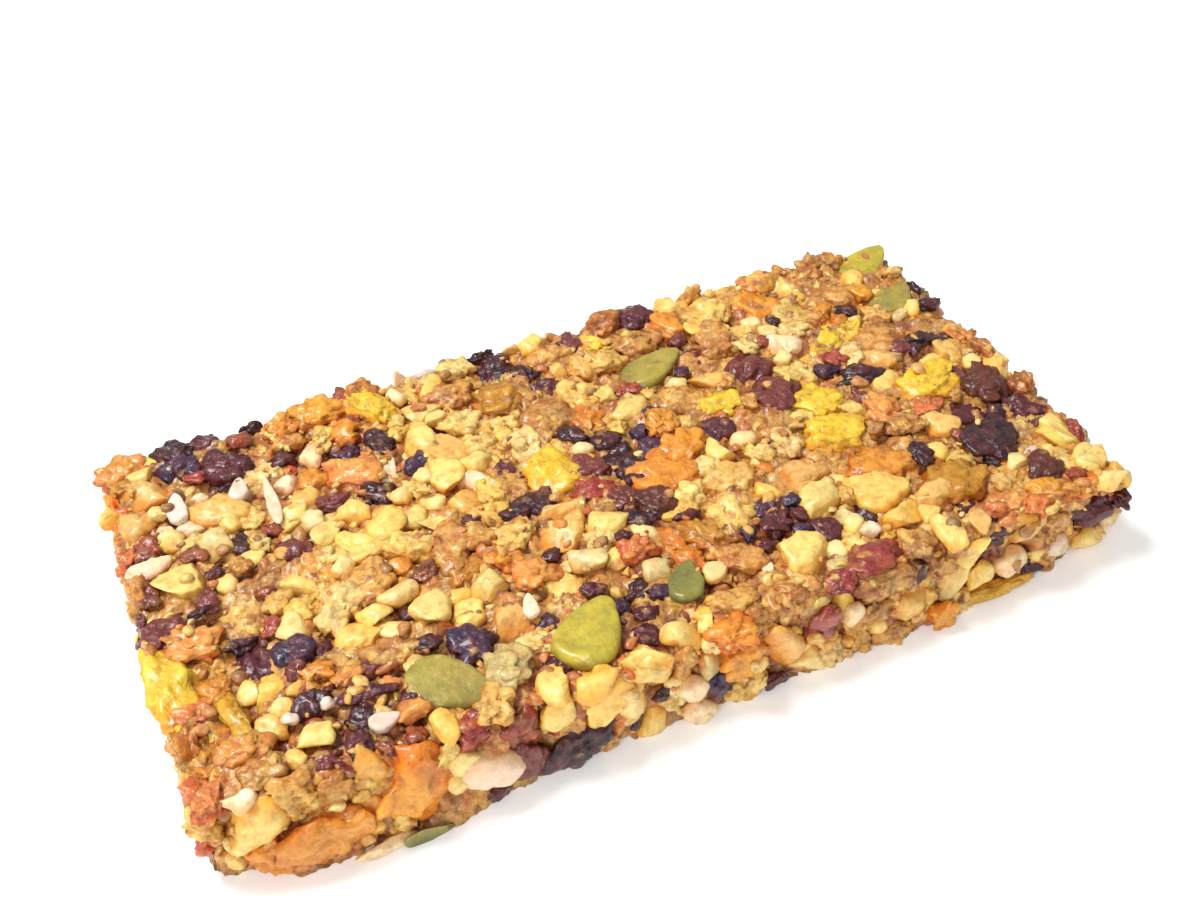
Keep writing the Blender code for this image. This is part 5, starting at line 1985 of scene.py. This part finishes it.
class Wardrobe:
    """The finishes of the bar."""

    finishes: dict[str, Finish] = {
        "slab": Finish(
            "sticky_crumb", roughness=0.42, coat=0.35, accent=Tint.HONEY, accent_share=0.25, film=0.4,
            paste=Tint.DATE, paste_reach=-0.75, specks=0.5, mottle=0.75, relief_depth=0.22,
            blotch_scale=900.0, lower_side_shade_share=0.0,
        ),
        Kind.NUT.value: Finish(
            "chopped_nut", roughness=0.38, coat=0.2, glow=0.3, glow_depth=1.2, accent=Tint.HONEY,
            accent_share=0.3, painted_highlight=Tint.IVORY, painted_highlight_share=0.3, paste=Tint.TAN, paste_reach=-0.35,
            film=0.05, specks=0.15, mottle=0.42, relief_depth=0.12, lower_side_shade_share=0.85,
        ),
        Kind.GRAIN.value: Finish(
            "puffed_grain", roughness=0.4, coat=0.15, glow=0.3, glow_depth=1.0, accent=Tint.HONEY,
            accent_share=0.25, painted_highlight=Tint.MILK, painted_highlight_share=0.4, paste=Tint.TAN, paste_reach=-0.3,
            film=0.05, specks=0.12, mottle=0.22, relief_depth=0.1,
        ),
        Kind.RAISIN.value: Finish(
            "raisin_skin", roughness=0.32, coat=0.4, accent=Tint.MAUVE, accent_share=0.45, film=0.05,
            paste=Tint.UMBER, paste_reach=-0.5, specks=0.2, mottle=0.5, crevice_shade_share=0.7, relief_depth=0.3,
            relief_scale=1200.0, relief_grain=1.0, edge=(0.5, 0.34, 0.42), blotch_scale=800.0,
        ),
        Kind.CRANBERRY.value: Finish(
            "cranberry_skin", roughness=0.28, coat=0.4, accent=Tint.CORAL, accent_share=0.3, film=0.06,
            paste=Tint.UMBER, paste_reach=-0.4, specks=0.15, mottle=0.7, crevice_shade_share=0.6, relief_depth=0.2,
            edge=(0.6, 0.4, 0.4), blotch_scale=800.0,
        ),
        Kind.FRUIT.value: Finish(
            "dried_fruit_flesh", roughness=0.34, coat=0.4, glow=0.25, glow_depth=1.4, accent=Tint.AMBER,
            accent_share=0.15, painted_highlight=Tint.MANGO, painted_highlight_share=0.18, paste=Tint.ROSE_CRUMB, paste_reach=-0.6,
            film=0.07, specks=0.25, mottle=0.5, relief_depth=0.2, relief_scale=1600.0,
            blotch_scale=620.0, edge=(0.9, 0.42, 0.2),
        ),
        Kind.DATE.value: Finish(
            "date_paste", roughness=0.42, coat=0.35, accent=Tint.TAN, accent_share=0.5, film=0.3,
            painted_highlight=Tint.HONEY, painted_highlight_share=0.35, paste=Tint.DATE, paste_reach=-0.3, specks=0.4,
            mottle=0.8, relief_depth=0.22, edge=(0.7, 0.42, 0.26),
        ),
        Kind.CLUSTER.value: Finish(
            "crumb_cluster", roughness=0.42, coat=0.25, glow=0.15, glow_depth=1.0, accent=Tint.LEMON,
            accent_share=0.35, film=0.15, painted_highlight=Tint.IVORY, painted_highlight_share=0.25, paste=Tint.ROSE_CRUMB,
            paste_reach=-0.4, specks=0.3, mottle=0.55, relief_depth=0.22, blotch_scale=750.0,
            edge=(0.9, 0.58, 0.3),
        ),
        Kind.PUMPKIN.value: Finish(
            "pumpkin_seed_skin", roughness=0.36, coat=0.25, glow=0.1, accent=Tint.PUMPKIN_DARK,
            accent_share=0.5, painted_highlight=Tint.PUMPKIN_LIME, painted_highlight_share=0.35, paste=Tint.TAN,
            paste_reach=-0.4, film=0.06, specks=0.25, mottle=0.35, relief_depth=0.1, blotch_scale=380.0,
            edge=(0.62, 0.5, 0.3),
        ),
        Kind.SUNFLOWER.value: Finish(
            "sunflower_seed_skin", roughness=0.38, glow=0.2, accent=Tint.TAN, accent_share=0.3,
            painted_highlight=Tint.MILK, painted_highlight_share=0.4, paste=Tint.TAN, paste_reach=-0.4, film=0.04, specks=0.1,
            mottle=0.3, relief_depth=0.05, edge=(0.8, 0.66, 0.5),
        ),
        Kind.CRUMB.value: Finish(
            "loose_crumb", roughness=0.45, coat=0.2, accent=Tint.TAN, accent_share=0.3,
            painted_highlight=Tint.IVORY, painted_highlight_share=0.2, paste=Tint.DATE, paste_reach=-0.6, film=0.05, specks=0.3,
            mottle=0.6, relief_depth=0.1,
        ),
    }

    def __init__(self, effects: SharedEffects) -> None:
        """Builds every material, with the node groups that the finishes share."""
        self.materials = {key: finish.material(effects) for key, finish in self.finishes.items()}

    def of(self, kind: Kind) -> bpy.types.Material:
        """Gives the material of a kind of piece."""
        return self.materials[kind.value]


@dataclass(frozen=True)
class Studio:
    """A pale floor, soft light and the camera, in metres."""

    camera_at: Triple = (-0.04454, -0.10937, 0.11312)
    azimuth: float = 21.96
    pitch: float = 40.09
    roll: float = -2.97
    focal_pixels: float = 1435.8
    image_width: int = 1200
    sensor: float = 36.0
    floor_size: float = 3.0
    floor_drop: float = 0.00005
    sky: float = 0.43
    key_power: float = 2.7
    key_size: float = 0.18
    key_at: Triple = (-0.16, 0.16, 0.5)
    fill_power: float = 1.25
    fill_size: float = 0.2
    fill_at: Triple = (-0.32, -0.34, 0.3)
    floor_colour: Triple = (0.95, 0.95, 0.94)
    floor_glow: float = 0.2

    def build(self) -> None:
        """Sets up the floor, the lights and the camera."""
        self.add_floor()
        self.add_light("key", self.key_at, self.key_power, self.key_size)
        self.add_light("fill", self.fill_at, self.fill_power, self.fill_size)
        self.add_sky()
        self.add_camera()

    def add_floor(self) -> None:
        """Lays a plain pale floor just under the bar."""
        bm = bmesh.new()
        bmesh.ops.create_grid(bm, x_segments=1, y_segments=1, size=0.5 * self.floor_size)
        mesh = bpy.data.meshes.new("floor")
        bm.to_mesh(mesh)
        bm.free()
        floor = bpy.data.objects.new("floor", mesh)
        floor.location.z = -self.floor_drop
        bpy.context.scene.collection.objects.link(floor)
        material = bpy.data.materials.new("pale_floor")
        material.use_nodes = True
        shader = material.node_tree.nodes["Principled BSDF"]
        shader.inputs["Base Color"].default_value = (*self.floor_colour, 1.0)
        shader.inputs["Roughness"].default_value = 0.7
        shader.inputs["Specular IOR Level"].default_value = 0.1
        shader.inputs["Emission Color"].default_value = (1.0, 1.0, 1.0, 1.0)
        shader.inputs["Emission Strength"].default_value = self.floor_glow
        mesh.materials.append(material)
        floor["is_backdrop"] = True

    def add_light(self, name: str, place: Triple, power: float, size: float) -> None:
        """Hangs a soft square light that looks at the bar.

        Args:
            name: The light's name.
            place: Where it hangs.
            power: Its power in watts.
            size: The length of its side.
        """
        data = bpy.data.lights.new(name, "AREA")
        data.energy = power
        data.size = size
        light = bpy.data.objects.new(name, data)
        light.location = place
        light.rotation_euler = (-Vector(place)).to_track_quat("-Z", "Y").to_euler()
        bpy.context.scene.collection.objects.link(light)

    def add_sky(self) -> None:
        """Wraps the scene in even white light."""
        world = bpy.data.worlds.new("studio")
        bpy.context.scene.world = world
        world.use_nodes = True
        back = world.node_tree.nodes["Background"]
        back.inputs["Color"].default_value = (1.0, 0.995, 0.985, 1.0)
        back.inputs["Strength"].default_value = self.sky

    def add_camera(self) -> None:
        """Places the camera where the photograph was taken from."""
        data = bpy.data.cameras.new("camera")
        data.sensor_width = self.sensor
        data.lens = self.focal_pixels / self.image_width * self.sensor
        data.clip_start = 0.01
        camera = bpy.data.objects.new("camera", data)
        turn = (
            Matrix.Rotation(math.radians(-self.azimuth), 3, "Z")
            @ Matrix.Rotation(math.radians(90.0 - self.pitch), 3, "X")
            @ Matrix.Rotation(math.radians(self.roll), 3, "Z")
        )
        camera.matrix_world = Matrix.Translation(self.camera_at) @ turn.to_4x4()
        bpy.context.scene.collection.objects.link(camera)
        bpy.context.scene.camera = camera
        bpy.context.scene.view_settings.view_transform = "Standard"


def main() -> None:
    """Builds the bar's looks in order and reports each piece."""
    logging.basicConfig(level=logging.INFO, format="%(name)s: %(message)s")
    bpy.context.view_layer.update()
    outline = Outline()
    maker = MeshMaker()
    wardrobe = Wardrobe(SharedEffects())
    batches = PressedPieces(outline).gather()
    relief = Relief(outline)
    for batch in batches.values():
        relief.press(batch.joined()[0])
    points, faces, tints = CrumbSlab(outline).shape(relief)
    relief.press(points)
    relief.settle()
    batches[Kind.CRUMB] = StickyCrumbs(outline, relief).gather()
    slab = maker.build("crumb_slab", points, faces, tints, relief.depth(points), np.zeros(len(points)))
    slab.data.materials.append(wardrobe.materials["slab"])
    log.info("crumb slab: %d faces", len(slab.data.polygons))
    for kind, batch in batches.items():
        points, faces, tints, drops = batch.joined()
        piece = maker.build(batch.name, points, faces, tints, relief.depth(points), drops)
        piece.data.materials.append(wardrobe.of(kind))
        log.info("%s: %d pieces, %d triangles", batch.name, len(batch.points), len(faces))
    Studio().build()


if __name__ == "__main__":
    main()
